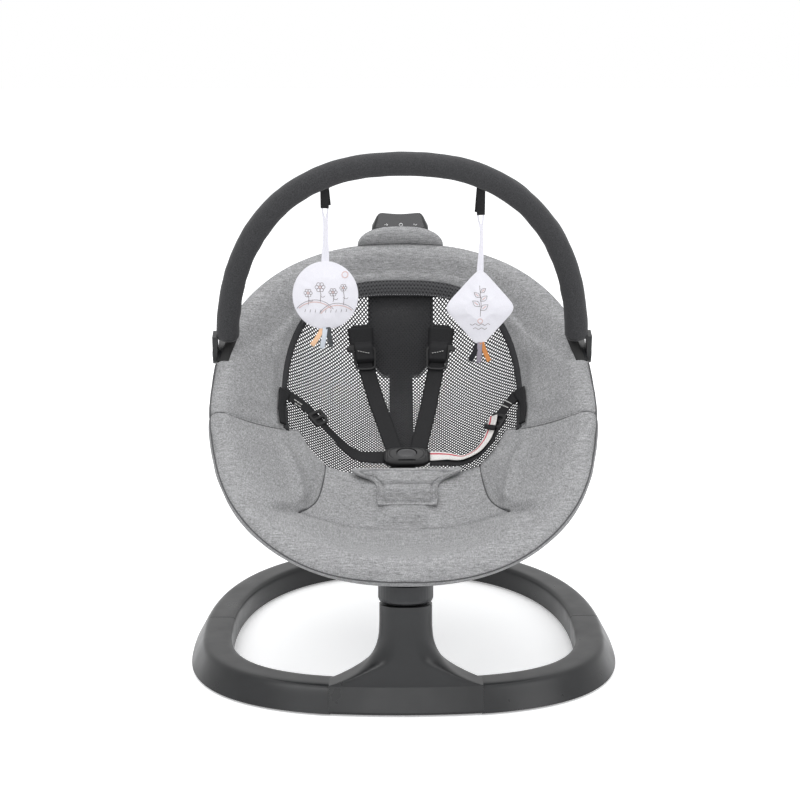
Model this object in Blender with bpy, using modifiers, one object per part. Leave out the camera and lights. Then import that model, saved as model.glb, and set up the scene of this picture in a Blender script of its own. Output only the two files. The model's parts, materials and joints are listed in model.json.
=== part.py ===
"""Child swing seat: a ring base, a leaning column, and a padded oval seat that swings on it."""
import math

import bmesh
import bpy
import numpy as np
from mathutils import Matrix, Vector

# Fits between pieces
GAP = 0.0003
SEWN_GAP = 0.0005

# Ring base, seen from above, with its middle at the origin
RING_HALF_WIDTH = 0.303
RING_WIDEST_Y = -0.069
RING_FRONT_REACH = 0.256
RING_REAR_REACH = 0.394
RING_FRONT_POWER = 2.6
RING_REAR_POWER = 2.25
RING_HEIGHT = 0.037
RING_DRAFT = 0.018
RING_WIDTH = 0.058
RING_WALL = 0.003
RING_EDGE = 0.0045
RING_SEAM_Y = -0.023
COVER_PLATE = 0.0025
PLATE_GAP = 0.0014
FOOT_HEIGHT = 0.003
FOOT_RADIUS = 0.013

# Front block and column
BLOCK_HALF_WIDTH = 0.103
BLOCK_PROUD = 0.0015
BLOCK_BACK_RADIUS_POWER = 7.0
NOSE_HALF_WIDTH = 0.0085
FLARE_POWER = 4.5
NOSE_POWER = 5.5
AXIS_Y = -0.264
NECK_Z = 0.140
AXIS_LEAN = math.radians(8.0)
NECK_RADIUS = 0.0355
BEARING_RADIUS = 0.016
BEARING_WIDTH = 0.009
BEARING_SPACING = 0.046
SHAFT_RADIUS = 0.008
SHAFT_DROP = 0.116
CAVITY_HALF_WIDTH = 0.088
CAVITY_FRONT_Y = -0.301
CAVITY_BACK_Y = -0.2715
CAVITY_TOP = 0.0335
INLET_X = 0.060
INLET_Z = 0.018
INLET_RADIUS = 0.0055

# Hub collar above the neck
COLLAR_RADIUS = 0.037
COLLAR_HEIGHT = 0.030
COLLAR_SPLIT = 0.0012

# Seat plane: an oval steel rim that slopes up towards the head
SEAT_FOOT_Y = -0.321
SEAT_FOOT_Z = 0.186
SEAT_SLOPE = math.radians(31.0)
RIM_HALF_WIDTH = 0.259
RIM_HALF_LENGTH = 0.322
RIM_POWER = 2.3
TUBE_RADIUS = 0.011
TUBE_BORE = 0.0095
TUBE_SIDES = 10
ROLL_RADIUS = 0.017
ROLL_BORE = 0.0125
ROLL_START = math.radians(-90.0)
ROLL_END = math.radians(130.0)
RIM_LENGTH = 2 * (RIM_HALF_LENGTH + ROLL_RADIUS)

# Padded bowl inside the rim; every place up the seat is a share of the rim's length
SEAT_DEPTH = 0.115
BOWL_REACH = 0.200
BOWL_POWER = 1.7
COVER_EDGE = 0.006
COVER_CROWN = 0.006
COVER_SAG = 0.008
WING_SEAM_W = 0.45 * RIM_LENGTH
WING_SEAM_INNER = (0.150, 0.5325 * RIM_LENGTH)
WINDOW_HALF_WIDTH = 0.176
WINDOW_MIDDLE_W = 0.59 * RIM_LENGTH
WINDOW_RISE = 0.3263 * RIM_LENGTH
WINDOW_POWER = 2.6
WINDOW_FOOT_U = 0.171
CREASE_SHARES = ((0.135, 0.497), (0.1215, 0.4749), (0.1115, 0.4587), (0.115, 0.4012), (0.1215, 0.3451),
                 (0.133, 0.3024))
CREASE = tuple((side, share * RIM_LENGTH) for side, share in CREASE_SHARES)
CUSHION_FRONT_HALF = 0.147
CUSHION_FRONT_W = 0.2625 * RIM_LENGTH
CUSHION_FRONT_BOW = 0.018
CUSHION_REAR_BOW = -0.004
MESH_THICKNESS = 0.002
MESH_MARGIN = 0.004
MESH_DROP = 0.0016

# Spine arm from the hub to the control pod
ARM_DROP = 0.018
ARM_THICKNESS = 0.018
STEM_HALF_WIDTH = 0.018
PADDLE_HALF_WIDTH = 0.050
ARM_HUB_HALF_WIDTH = 0.029
FOOT_CLAMP_HALF_WIDTH = 0.022
HEAD_CLAMP_HALF_WIDTH = 0.040
PADDLE_START_W = 0.7655 * RIM_LENGTH
PADDLE_FULL_W = 0.8481 * RIM_LENGTH
POD_TOP_HALF_WIDTH = 0.0345
POD_LOW_HALF_WIDTH = 0.0435

# Side brackets and toy bar
PIVOT_W = 0.649 * RIM_LENGTH
BRACKET_HALF_LENGTH = 0.0235
BRACKET_FACE = 0.0166
NOTCH_HALF_LENGTH = 0.034
NOTCH_INWARD = 0.006
NOTCH_OUTWARD = 0.060
BAR_LEAN = math.radians(12.0)
BAR_HALF_WIDTH = 0.2535
BAR_RISE = 0.291
BAR_POWER = 2.35
SLEEVE_RADIUS = 0.017
SLEEVE_START = 0.032
BAR_TUBE_RADIUS = 0.006
BAR_TUBE_BORE = 0.0048
SOCKET_BLADE = 0.007
SOCKET_BLADE_HALF = 0.012
SOCKET_SHOULDER = 0.0042
SOCKET_BRIDGE_INSET = 0.0005
SOCKET_EYE_RADIUS = 0.014
PIVOT_PIN_RADIUS = 0.003

# Toys
TOY_X = 0.110
LOOP_WIDTH = 0.012
LOOP_THICKNESS = 0.0012
LOOP_FOLD = 0.0008
LOOP_SLACK = 0.0011
LEFT_LOOP_DROP = 0.028
RIGHT_LOOP_DROP = 0.038
RIBBON_LENGTH = 0.075
RIBBON_DROP = 0.0013
RIBBON_WIDTH = 0.009
DISC_RADIUS = 0.047
DIAMOND_HALF_WIDTH = 0.048
DIAMOND_HALF_HEIGHT = 0.053
TOY_THICKNESS = 0.014
TAIL_LENGTH = 0.030
TAIL_WIDTH = 0.007

# Harness
STRAP_WIDTH = 0.025
STRAP_THICKNESS = 0.0016
SHOULDER_U = 0.065
SHOULDER_TOP_W = 0.8363 * RIM_LENGTH
ADJUSTER_W = 0.7714 * RIM_LENGTH
BUCKLE_U = 0.006
BUCKLE_W = 0.4912 * RIM_LENGTH
BUCKLE_WIDTH = 0.068
BUCKLE_LENGTH = 0.034
BUCKLE_HEIGHT = 0.014
BUTTON_HALF_WIDTH = 0.0145
BUTTON_HALF_LENGTH = 0.0095
BUTTON_POCKET = 0.007
BUTTON_GAP = 0.0004
LIFT_ON_MESH = 0.0035

TRACK_SAMPLES = 1440
SEAT_TURN = Matrix.Rotation(SEAT_SLOPE, 4, "X")
AXIS_TURN = Matrix.Rotation(-AXIS_LEAN, 4, "X")
NECK_TOP = Vector((0.0, AXIS_Y, NECK_Z))

FINISHES = {
    "satin_black": ((0.035, 0.036, 0.038), 0.42, 0.0),
    "hub_grey": ((0.055, 0.056, 0.060), 0.38, 0.0),
    "rubber": ((0.02, 0.02, 0.02), 0.8, 0.0),
    "steel": ((0.55, 0.55, 0.56), 0.3, 1.0),
    "copper": ((0.60, 0.28, 0.14), 0.4, 1.0),
    "grey_melange": ((0.25, 0.25, 0.26), 0.9, 0.0),
    "black_mesh": ((0.02, 0.02, 0.022), 0.85, 0.0),
    "webbing": ((0.018, 0.018, 0.02), 0.75, 0.0),
    "white_tape": ((0.80, 0.78, 0.76), 0.8, 0.0),
    "dark_sleeve": ((0.045, 0.045, 0.05), 0.9, 0.0),
    "white_cloth": ((0.85, 0.84, 0.84), 0.85, 0.0),
    "button_black": ((0.03, 0.03, 0.03), 0.3, 0.0),
}


def clear_scene():
    for old in list(bpy.data.objects):
        bpy.data.objects.remove(old, do_unlink=True)


def new_collection(name):
    collection = bpy.data.collections.new(name)
    bpy.context.scene.collection.children.link(collection)
    return collection


def finish(name):
    """The Principled material of a finish, made the first time that it is asked for."""
    if name in bpy.data.materials:
        return bpy.data.materials[name]
    colour, roughness, metallic = FINISHES[name]
    material = bpy.data.materials.new(name)
    material.use_nodes = True
    shader = material.node_tree.nodes["Principled BSDF"]
    shader.inputs["Base Color"].default_value = (*colour, 1.0)
    shader.inputs["Roughness"].default_value = roughness
    shader.inputs["Metallic"].default_value = metallic
    return material


def add_object(name, data, look, matrix=None):
    """Link mesh or curve data as a named part, placed by its matrix."""
    part = bpy.data.objects.new(name, data)
    PARTS.objects.link(part)
    data.materials.append(finish(look))
    if matrix is not None:
        part.matrix_world = matrix
    return part


def mesh_from(bm, name, crease=35.0):
    """Turn a bmesh into a mesh that is smooth except at its sharp edges."""
    bmesh.ops.recalc_face_normals(bm, faces=bm.faces)
    mesh = bpy.data.meshes.new(name)
    bm.to_mesh(mesh)
    bm.free()
    mesh.shade_smooth()
    mesh.set_sharp_from_angle(angle=math.radians(crease))
    return mesh


def loft_mesh(name, rings):
    """Skin closed rings; each ring runs along one face and comes back along the other."""
    bm = bmesh.new()
    rows = [[bm.verts.new(point) for point in ring] for ring in rings]
    count = len(rings[0])
    for near, far in zip(rows, rows[1:]):
        for i in range(count):
            j = (i + 1) % count
            bm.faces.new((near[i], near[j], far[j], far[i]))
    for end in (rows[0], rows[-1]):
        for i in range(count // 2 - 1):
            bm.faces.new((end[i], end[i + 1], end[count - 2 - i], end[count - 1 - i]))
    return mesh_from(bm, name)


def loft(name, rings, look):
    return add_object(name, loft_mesh(name, rings), look)


def make_cutter(name, data, matrix=None):
    cutter = bpy.data.objects.new(name, data)
    CUTTERS.objects.link(cutter)
    cutter.hide_render = True
    cutter.display_type = "WIRE"
    if matrix is not None:
        cutter.matrix_world = matrix
    return cutter


def combine(part, other, operation):
    """Cut or join a part with another object by an exact Boolean."""
    modifier = part.modifiers.new(other.name, "BOOLEAN")
    modifier.object = other
    modifier.operation = operation
    modifier.solver = "EXACT"


def box_mesh(name, low, high):
    bm = bmesh.new()
    bmesh.ops.create_cube(bm, size=1.0)
    low, high = Vector(low), Vector(high)
    for vert in bm.verts:
        vert.co = Vector(a + (c + 0.5) * (b - a) for a, b, c in zip(low, high, vert.co))
    return mesh_from(bm, name)


def cylinder_mesh(name, radius, bottom, top, sides=32, end_radius=None):
    bm = bmesh.new()
    bmesh.ops.create_cone(bm, cap_ends=True, segments=sides, radius1=radius,
                          radius2=radius if end_radius is None else end_radius, depth=top - bottom)
    bmesh.ops.translate(bm, verts=bm.verts, vec=(0.0, 0.0, (top + bottom) / 2))
    return mesh_from(bm, name)


def turned(name, profile, look, matrix, steps=32):
    """Spin a profile of (radius, height) points, listed down the outer side, into a solid."""
    mesh = bpy.data.meshes.new(name)
    closed = profile[0][0] > 0
    edges = [(i, i + 1) for i in range(len(profile) - 1)]
    if closed:
        edges.append((len(profile) - 1, 0))
    mesh.from_pydata([(radius, 0.0, height) for radius, height in profile], edges, [])
    part = add_object(name, mesh, look, matrix)
    screw = part.modifiers.new("turn", "SCREW")
    screw.steps = steps
    screw.render_steps = steps
    screw.use_merge_vertices = True
    screw.merge_threshold = 0.00001
    screw.use_smooth_shade = True
    return part


def poly_curve(name, points, radius, resolution=2):
    """A round bar along a chain of points, with closed ends."""
    curve = bpy.data.curves.new(name, "CURVE")
    curve.dimensions = "3D"
    curve.bevel_depth = radius
    curve.bevel_resolution = resolution
    curve.use_fill_caps = True
    spline = curve.splines.new("POLY")
    spline.points.add(len(points) - 1)
    for slot, point in zip(spline.points, points):
        slot.co = (*point, 1.0)
    return curve


def mesh_of_curve(curve, name):
    """The welded mesh of a curve, for a piece that is cut."""
    holder = bpy.data.objects.new(name, curve)
    bpy.context.scene.collection.objects.link(holder)
    graph = bpy.context.evaluated_depsgraph_get()
    mesh = bpy.data.meshes.new_from_object(holder.evaluated_get(graph))
    bpy.data.objects.remove(holder, do_unlink=True)
    bm = bmesh.new()
    bm.from_mesh(mesh)
    bmesh.ops.remove_doubles(bm, verts=bm.verts, dist=0.00001)
    bpy.data.meshes.remove(mesh)
    return mesh_from(bm, name)


def outline_curve(name, outlines, thickness):
    """A flat plate from closed 2D outlines, the first outside and the rest holes."""
    curve = bpy.data.curves.new(name, "CURVE")
    curve.dimensions = "2D"
    curve.fill_mode = "BOTH"
    curve.extrude = thickness / 2
    for outline in outlines:
        spline = curve.splines.new("POLY")
        spline.points.add(len(outline) - 1)
        for slot, point in zip(spline.points, outline):
            slot.co = (point[0], point[1], 0.0, 1.0)
        spline.use_cyclic_u = True
    return curve


def pipe_mesh(name, rings_out, rings_in):
    """A tube with a bore, skinned over outer and inner rings of the same count."""
    bm = bmesh.new()
    outer = [[bm.verts.new(p) for p in ring] for ring in rings_out]
    inner = [[bm.verts.new(p) for p in ring] for ring in rings_in]
    count = len(rings_out[0])
    for rows in (outer, inner):
        for near, far in zip(rows, rows[1:]):
            for i in range(count):
                j = (i + 1) % count
                bm.faces.new((near[i], near[j], far[j], far[i]))
    for end in (0, -1):
        for i in range(count):
            j = (i + 1) % count
            bm.faces.new((outer[end][i], outer[end][j], inner[end][j], inner[end][i]))
    return mesh_from(bm, name)


def superellipse(angle, half_x, half_y, power):
    c, s = math.cos(angle), math.sin(angle)
    return (math.copysign(half_x * abs(c) ** (2 / power), c),
            math.copysign(half_y * abs(s) ** (2 / power), s))


def mix(a, b, share):
    return a + (b - a) * share


def ease(low, high, value):
    """A smooth step from 0 at low to 1 at high."""
    share = min(max((value - low) / (high - low), 0.0), 1.0)
    return share * share * (3 - 2 * share)


class Track:
    """A closed outline, walked by share of its length from its front end, right side first."""

    def __init__(self, outline):
        angles = np.linspace(-math.pi / 2, 1.5 * math.pi, TRACK_SAMPLES + 1)
        self.points = np.array([outline(angle) for angle in angles])
        steps = np.linalg.norm(np.diff(self.points, axis=0), axis=1)
        self.reach = np.concatenate([[0.0], np.cumsum(steps)])
        self.length = float(self.reach[-1])

    def place(self, share):
        walked = (share % 1.0) * self.length
        return Vector((float(np.interp(walked, self.reach, self.points[:, 0])),
                       float(np.interp(walked, self.reach, self.points[:, 1]))))

    def outward(self, share):
        along = self.place(share + 0.002) - self.place(share - 0.002)
        return Vector((along.y, -along.x)).normalized()

    def share_at(self, height):
        """Where the right-hand side reaches a height, as a share of the length."""
        half = TRACK_SAMPLES // 2
        return float(np.interp(height, self.points[:half, 1], self.reach[:half])) / self.length

    def share_beside(self, side):
        """Where the front, right of the middle, reaches a distance to the side."""
        quarter = TRACK_SAMPLES // 4
        return float(np.interp(side, self.points[:quarter, 0], self.reach[:quarter])) / self.length

    def distance(self, x, y):
        return float(np.min(np.hypot(self.points[:, 0] - x, self.points[:, 1] - y)))


def ring_outline(angle):
    """The outer edge of the ring base on the floor."""
    front = math.sin(angle) < 0
    reach = RING_FRONT_REACH if front else RING_REAR_REACH
    power = RING_FRONT_POWER if front else RING_REAR_POWER
    x, y = superellipse(angle, RING_HALF_WIDTH, reach, power)
    return x, RING_WIDEST_Y + y


def rim_outline(angle):
    """The middle line of the rim tube, in the seat plane."""
    u, w = superellipse(angle, RIM_HALF_WIDTH, RIM_HALF_LENGTH, RIM_POWER)
    return u, w + ROLL_RADIUS + RIM_HALF_LENGTH


RING = Track(ring_outline)
RIM = Track(rim_outline)


def seat_point(u, w, n):
    """World place of a point in the seat plane's own frame: across, up the slope, off it."""
    return SEAT_TURN @ Vector((u, w, n)) + Vector((0.0, SEAT_FOOT_Y, SEAT_FOOT_Z))


def seat_matrix(u, w, n, turn=0.0):
    """A frame that lies parallel to the seat plane, turned in it."""
    return Matrix.Translation(seat_point(u, w, n)) @ SEAT_TURN @ Matrix.Rotation(turn, 4, "Z")


def seat_level(u, w):
    """Height of the padded bowl over the rim plane, by the distance from the rim."""
    edge = ROLL_RADIUS * math.sin(ROLL_END - math.pi / 2)
    top = ROLL_RADIUS * math.cos(ROLL_END - math.pi / 2)
    share = min(max((RIM.distance(u, w) - edge) / (BOWL_REACH - edge), 0.0), 1.0)
    return top - (top + SEAT_DEPTH) * (1 - (1 - share) ** BOWL_POWER)


def on_seat(u, w, lift):
    """World place of a point that stands off the bowl along its normal."""
    step = 0.002
    slope_u = (seat_level(u + step, w) - seat_level(u - step, w)) / (2 * step)
    slope_w = (seat_level(u, w + step) - seat_level(u, w - step)) / (2 * step)
    normal = Vector((-slope_u, -slope_w, 1.0)).normalized()
    spot = Vector((u, w, seat_level(u, w))) + normal * lift
    return seat_point(*spot)


def axis_matrix(height):
    """A frame on the swing axis, this far above the top of the neck."""
    return Matrix.Translation(NECK_TOP) @ AXIS_TURN @ Matrix.Translation((0.0, 0.0, height))


def sweep_ring(shares, face, back):
    """Rings of a section (distance inwards, height) carried round the ring base."""
    rings = []
    for share in shares:
        place, out = RING.place(share), RING.outward(share)
        ring = []
        for inwards, height in list(face) + list(reversed(back)):
            spot = place - out * inwards
            ring.append(Vector((spot.x, spot.y, FOOT_HEIGHT + height)))
        rings.append(ring)
    return rings


def ring_section():
    """The open-bottomed channel of the ring: its outer skin and its inner skin."""
    top = RING_HEIGHT - FOOT_HEIGHT
    lean = RING_DRAFT / top
    low, high = top - RING_EDGE * 1.6, top - RING_EDGE * 0.45
    outer = [(0.0, 0.0), (low * lean, low), (high * lean + 0.0008, high), (RING_DRAFT + RING_EDGE, top),
             (RING_WIDTH - RING_EDGE, top), (RING_WIDTH - 0.0012, high), (RING_WIDTH, low),
             (RING_WIDTH, 0.0)]
    roof = top - RING_WALL
    inner_low = low - RING_WALL * 0.4
    inner = [(RING_WALL, 0.0), (inner_low * lean + RING_WALL, inner_low),
             (high * lean + RING_WALL, roof - 0.0012), (RING_DRAFT + RING_EDGE + 0.001, roof),
             (RING_WIDTH - RING_EDGE - 0.001, roof), (RING_WIDTH - RING_WALL - 0.0006, roof - 0.0012),
             (RING_WIDTH - RING_WALL, inner_low), (RING_WIDTH - RING_WALL, 0.0)]
    return outer, inner


def plate_section():
    """The flat cover that closes the channel from below."""
    lean = RING_DRAFT / (RING_HEIGHT - FOOT_HEIGHT)
    outer_edge = RING_WALL + COVER_PLATE * lean + PLATE_GAP
    inner_edge = RING_WIDTH - RING_WALL - PLATE_GAP
    return [(outer_edge, COVER_PLATE), (inner_edge, COVER_PLATE)], [(outer_edge, 0.0), (inner_edge, 0.0)]


def shares_between(start, end, count):
    return [mix(start, end, i / (count - 1)) for i in range(count)]


def build_ring():
    """Two front arcs and one rear arc, tied together by one bottom cover."""
    seam = RING.share_at(RING_SEAM_Y)
    block = RING.share_beside(BLOCK_HALF_WIDTH - 0.003)
    slip = SEWN_GAP / RING.length
    spans = {
        "right": (block, seam - slip, 14),
        "rear": (seam + slip, 1 - seam - slip, 25),
        "left": (1 - seam + slip, 1 - block, 14),
    }
    reach = BLOCK_HALF_WIDTH + SEWN_GAP
    depth = RING_WIDEST_Y - RING_FRONT_REACH
    bay = make_cutter("block_bay", box_mesh("block_bay", (-reach, depth - 0.02, -0.02),
                                            (reach, depth + RING_WIDTH + 0.03, RING_HEIGHT + 0.02)))
    face, back = ring_section()
    plate_face, plate_back = plate_section()
    for side, (start, end, count) in spans.items():
        rings = sweep_ring(shares_between(start, end, count), face, back)
        arc = loft("base_arc_" + side, rings, "satin_black")
        if side != "rear":
            combine(arc, bay, "DIFFERENCE")
    run = shares_between(block, 1 - block, 49)
    plate = loft("ring_bottom_cover", sweep_ring(run, plate_face, plate_back), "satin_black")
    combine(plate, bay, "DIFFERENCE")
    return spans


def build_feet(spans):
    """Four rubber pads under the bottom cover."""
    middle = RING_WIDTH / 2
    right_start, right_end, _ = spans["right"]
    front = mix(right_start, right_end, 0.55)
    rear = 0.5 - 0.165
    for name, share in (("front_right", front), ("front_left", 1 - front),
                        ("rear_right", rear), ("rear_left", 1 - rear)):
        spot = RING.place(share) - RING.outward(share) * middle
        profile = [(0.0, FOOT_HEIGHT - GAP), (FOOT_RADIUS, FOOT_HEIGHT - GAP),
                   (FOOT_RADIUS, 0.0006), (FOOT_RADIUS - 0.0006, 0.0), (0.0, 0.0)]
        turned("foot_pad_" + name, profile, "rubber", Matrix.Translation((spot.x, spot.y, 0.0)), 20)


def column_section(height):
    """One level of the block and column: a front nose, swept sides and a rounded back."""
    share = min(max((height - RING_HEIGHT) / (NECK_Z - RING_HEIGHT), 0.0), 1.0)
    side = mix(NECK_RADIUS, BLOCK_HALF_WIDTH, (1 - share) ** FLARE_POWER)
    nose = mix(NOSE_HALF_WIDTH, BLOCK_HALF_WIDTH, (1 - share) ** NOSE_POWER)
    ring_front = RING_WIDEST_Y - RING_FRONT_REACH
    low_front = ring_front - BLOCK_PROUD + RING_DRAFT * min(height / RING_HEIGHT, 1.0)
    lean = math.tan(AXIS_LEAN)
    axis_y = AXIS_Y - (NECK_Z - height) * lean
    front = mix(low_front, AXIS_Y - NECK_RADIUS, ease(0.0, 1.0, share))
    ring_back = ring_front + RING_WIDTH + BLOCK_PROUD
    back = mix(ring_back, AXIS_Y + NECK_RADIUS, 1 - (1 - share) ** 1.8)
    waist = mix((low_front + ring_back) / 2, axis_y, ease(0.0, 0.4, share))
    side = max(side, nose + 0.0004)
    power = mix(BLOCK_BACK_RADIUS_POWER, 2.0, ease(0.0, 0.35, share))
    bow = RING_FRONT_REACH * (1 - (1 - (BLOCK_HALF_WIDTH / RING_HALF_WIDTH) ** RING_FRONT_POWER)
                              ** (1 / RING_FRONT_POWER))
    half = []
    for step in range(4):
        x = nose * step / 3
        half.append((x, front + bow * (x / BLOCK_HALF_WIDTH) ** 2))
    nose_y = half[-1][1]
    for step in range(1, 6):
        x, y = superellipse(math.pi / 2 * (1 - step / 5), side - nose, waist - nose_y, power)
        half.append((nose + x, waist - y))
    for step in range(1, 6):
        x, y = superellipse(math.pi / 2 * step / 5, side, back - waist, power)
        half.append((x, waist + y))
    tilt = lean * share ** 3
    points = [Vector((x, y, height - tilt * (y - axis_y))) for x, y in half]
    mirrored = [Vector((-p.x, p.y, p.z)) for p in reversed(points[1:-1])]
    return points + mirrored


def column_levels():
    top = RING_HEIGHT
    shares = (0.015, 0.05, 0.1, 0.17, 0.26, 0.37, 0.5, 0.68, 0.86, 1.0)
    flare = [top + (NECK_Z - top) * share for share in shares]
    return [FOOT_HEIGHT, top * 0.45, top * 0.85] + flare


def inlet_matrix():
    """A frame in the block's back wall, where the power plug goes in."""
    return Matrix.Translation((INLET_X, CAVITY_BACK_Y, INLET_Z)) @ Matrix.Rotation(math.pi / 2, 4, "X")


def build_column():
    rings = [column_section(height) for height in column_levels()]
    start = len(rings[0]) // 4
    rings = [ring[start:] + ring[:start] for ring in rings]
    column = loft("column_housing", rings, "satin_black")
    bore_mesh = cylinder_mesh("bearing_bore", BEARING_RADIUS + GAP, -BEARING_WIDTH - 0.002, 0.02)
    bore = make_cutter("bearing_bore", bore_mesh, axis_matrix(0.0))
    throat_radius = BEARING_RADIUS - 0.003
    throat = make_cutter("shaft_throat", cylinder_mesh("shaft_throat", throat_radius, -0.105, 0.01),
                         axis_matrix(0.0))
    low_top = -BEARING_WIDTH - 0.002 - BEARING_SPACING + BEARING_WIDTH
    lower = make_cutter("lower_bore", cylinder_mesh("lower_bore", BEARING_RADIUS + GAP, -0.104, low_top),
                        axis_matrix(0.0))
    cavity = make_cutter("block_cavity", box_mesh("block_cavity", (-CAVITY_HALF_WIDTH, CAVITY_FRONT_Y, -0.01),
                                                  (CAVITY_HALF_WIDTH, CAVITY_BACK_Y, CAVITY_TOP)))
    inlet = make_cutter("inlet_hole", cylinder_mesh("inlet_hole", INLET_RADIUS + GAP, -0.02, 0.02, 20),
                        inlet_matrix())
    passage_mesh = cylinder_mesh("shaft_passage", SHAFT_RADIUS + 0.0015, -0.118, -0.09, 24)
    passage = make_cutter("shaft_passage", passage_mesh, axis_matrix(0.0))
    for cutter in (bore, throat, lower, passage, cavity, inlet):
        combine(column, cutter, "DIFFERENCE")
    half = CAVITY_HALF_WIDTH - SEWN_GAP
    cover = box_mesh("column_base_cover", (-half, CAVITY_FRONT_Y + SEWN_GAP, FOOT_HEIGHT),
                     (half, CAVITY_BACK_Y - SEWN_GAP, FOOT_HEIGHT + COVER_PLATE))
    add_object("column_base_cover", cover, "satin_black")


def build_drive():
    """Bearings, shaft, magnet arm, coil and power inlet inside the column."""
    bearing = [(BEARING_RADIUS, BEARING_WIDTH / 2), (BEARING_RADIUS, -BEARING_WIDTH / 2),
               (SHAFT_RADIUS + GAP, -BEARING_WIDTH / 2), (SHAFT_RADIUS + GAP, BEARING_WIDTH / 2)]
    upper_z = -0.002 - BEARING_WIDTH / 2
    turned("upper_bearing", bearing, "steel", axis_matrix(upper_z), 24)
    turned("lower_bearing", bearing, "steel", axis_matrix(upper_z - BEARING_SPACING), 24)
    collar = BEARING_RADIUS - 0.006
    low_step = upper_z - BEARING_SPACING - BEARING_WIDTH / 2 - GAP
    shaft = [(0.0, COLLAR_HEIGHT - 0.002), (SHAFT_RADIUS, COLLAR_HEIGHT - 0.002), (SHAFT_RADIUS, low_step),
             (collar, low_step), (collar, low_step - 0.004), (SHAFT_RADIUS, low_step - 0.004),
             (SHAFT_RADIUS, -SHAFT_DROP + 0.006), (0.0, -SHAFT_DROP + 0.006)]
    turned("swing_shaft", shaft, "steel", axis_matrix(0.0), 24)
    magnet_top = 0.006 - GAP - SHAFT_DROP
    magnet = box_mesh("drive_magnet", (-0.013, -0.0045, -SHAFT_DROP), (0.013, 0.0045, magnet_top))
    add_object("drive_magnet", magnet, "steel", axis_matrix(0.0))
    coil = [(0.010, FOOT_HEIGHT + COVER_PLATE + 0.0095), (0.010, FOOT_HEIGHT + COVER_PLATE + GAP),
            (0.004, FOOT_HEIGHT + COVER_PLATE + GAP), (0.004, FOOT_HEIGHT + COVER_PLATE + 0.0095)]
    middle = (CAVITY_FRONT_Y + CAVITY_BACK_Y) / 2
    turned("drive_coil", coil, "copper", Matrix.Translation((0.0, middle, 0.0)), 24)
    inlet = [(0.0, 0.009), (INLET_RADIUS, 0.009), (INLET_RADIUS, -0.004), (INLET_RADIUS - 0.0015, -0.004),
             (INLET_RADIUS - 0.0015, 0.007), (0.001, 0.007), (0.001, -0.003), (0.0, -0.003)]
    turned("power_inlet", inlet, "satin_black", inlet_matrix(), 20)


def build_collar():
    top = COLLAR_HEIGHT
    low = COLLAR_SPLIT
    bore = SHAFT_RADIUS + GAP
    rim = COLLAR_RADIUS
    profile = [(bore, top), (rim - 0.003, top), (rim, top - 0.003), (rim, low + 0.007),
               (rim - 0.0012, low + 0.0035), (rim - 0.0035, low + 0.0012), (rim - 0.007, low), (bore, low)]
    turned("hub_collar", profile, "hub_grey", axis_matrix(0.0), 40)


def arm_stations():
    """Middle line of the spine arm in the seat frame, with its half width at each place."""
    hub = SEAT_TURN.inverted() @ (axis_matrix(COLLAR_HEIGHT * 0.42).translation
                                  - Vector((0.0, SEAT_FOOT_Y, SEAT_FOOT_Z)))
    stations = [(hub.y, hub.z, ARM_HUB_HALF_WIDTH)]
    under = ARM_DROP + ARM_THICKNESS / 2
    shares = (0.192, 0.251, 0.324, 0.413, 0.516, 0.619, 0.70, 0.7655, 0.7725, 0.785, 0.805, 0.828, 0.8481, 0.90)
    for share in shares:
        w = share * RIM_LENGTH
        narrow = min(max((PADDLE_FULL_W - w) / (PADDLE_FULL_W - PADDLE_START_W), 0.0), 1.0)
        width = mix(STEM_HALF_WIDTH, PADDLE_HALF_WIDTH, math.sqrt(1 - narrow ** 2))
        width = mix(ARM_HUB_HALF_WIDTH, width, ease(0.074, 0.324, share))
        stations.append((w, seat_level(0.0, w) - under, width))
    rim_end = RIM_LENGTH - ROLL_RADIUS
    clear = ROLL_RADIUS + ARM_THICKNESS / 2 + 0.0025
    for angle in (-97.0, -70.0, -45.0, -22.0):
        turn = math.radians(angle)
        stations.append((rim_end + clear * math.cos(turn), clear * math.sin(turn), PADDLE_HALF_WIDTH - 0.002))
    return stations


def arm_frames():
    """Centre, face direction and half width along the arm, in world space."""
    stations = arm_stations()
    spots = [Vector((0.0, w, n)) for w, n, _ in stations]
    frames = []
    for i, spot in enumerate(spots):
        ahead = spots[min(i + 1, len(spots) - 1)] - spots[max(i - 1, 0)]
        face = Vector((1.0, 0.0, 0.0)).cross(ahead).normalized()
        frames.append((spot, face, stations[i][2]))
    return frames


def arm_half(name, low, high, rounded_high):
    """One moulded half of the arm between two depths of its section."""
    rings = []
    edge = 0.004
    for spot, face, width in arm_frames():
        across = [-width, -width + edge, -width / 3, width / 3, width - edge, width]
        drop = [edge * 0.8, 0.0, 0.0, 0.0, 0.0, edge * 0.8]
        outer = high if rounded_high else low
        flat = low if rounded_high else high
        sign = 1 if rounded_high else -1
        outer_row = [spot + Vector((x, 0, 0)) + face * (outer - sign * d) for x, d in zip(across, drop)]
        flat_row = [spot + Vector((x, 0, 0)) + face * flat for x in across]
        rings.append([seat_point(*p) for p in outer_row + flat_row[::-1]])
    return loft(name, rings, "satin_black")


def build_arm():
    half = ARM_THICKNESS / 2
    round_collar = cylinder_mesh("collar_clearance", COLLAR_RADIUS + GAP * 2, -0.02, COLLAR_HEIGHT + 0.02, 48)
    clearance = make_cutter("collar_clearance", round_collar, axis_matrix(0.0))
    combine(arm_half("spine_front", GAP / 2, half, True), clearance, "DIFFERENCE")
    combine(arm_half("spine_rear", -half, -GAP / 2, False), clearance, "DIFFERENCE")


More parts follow.
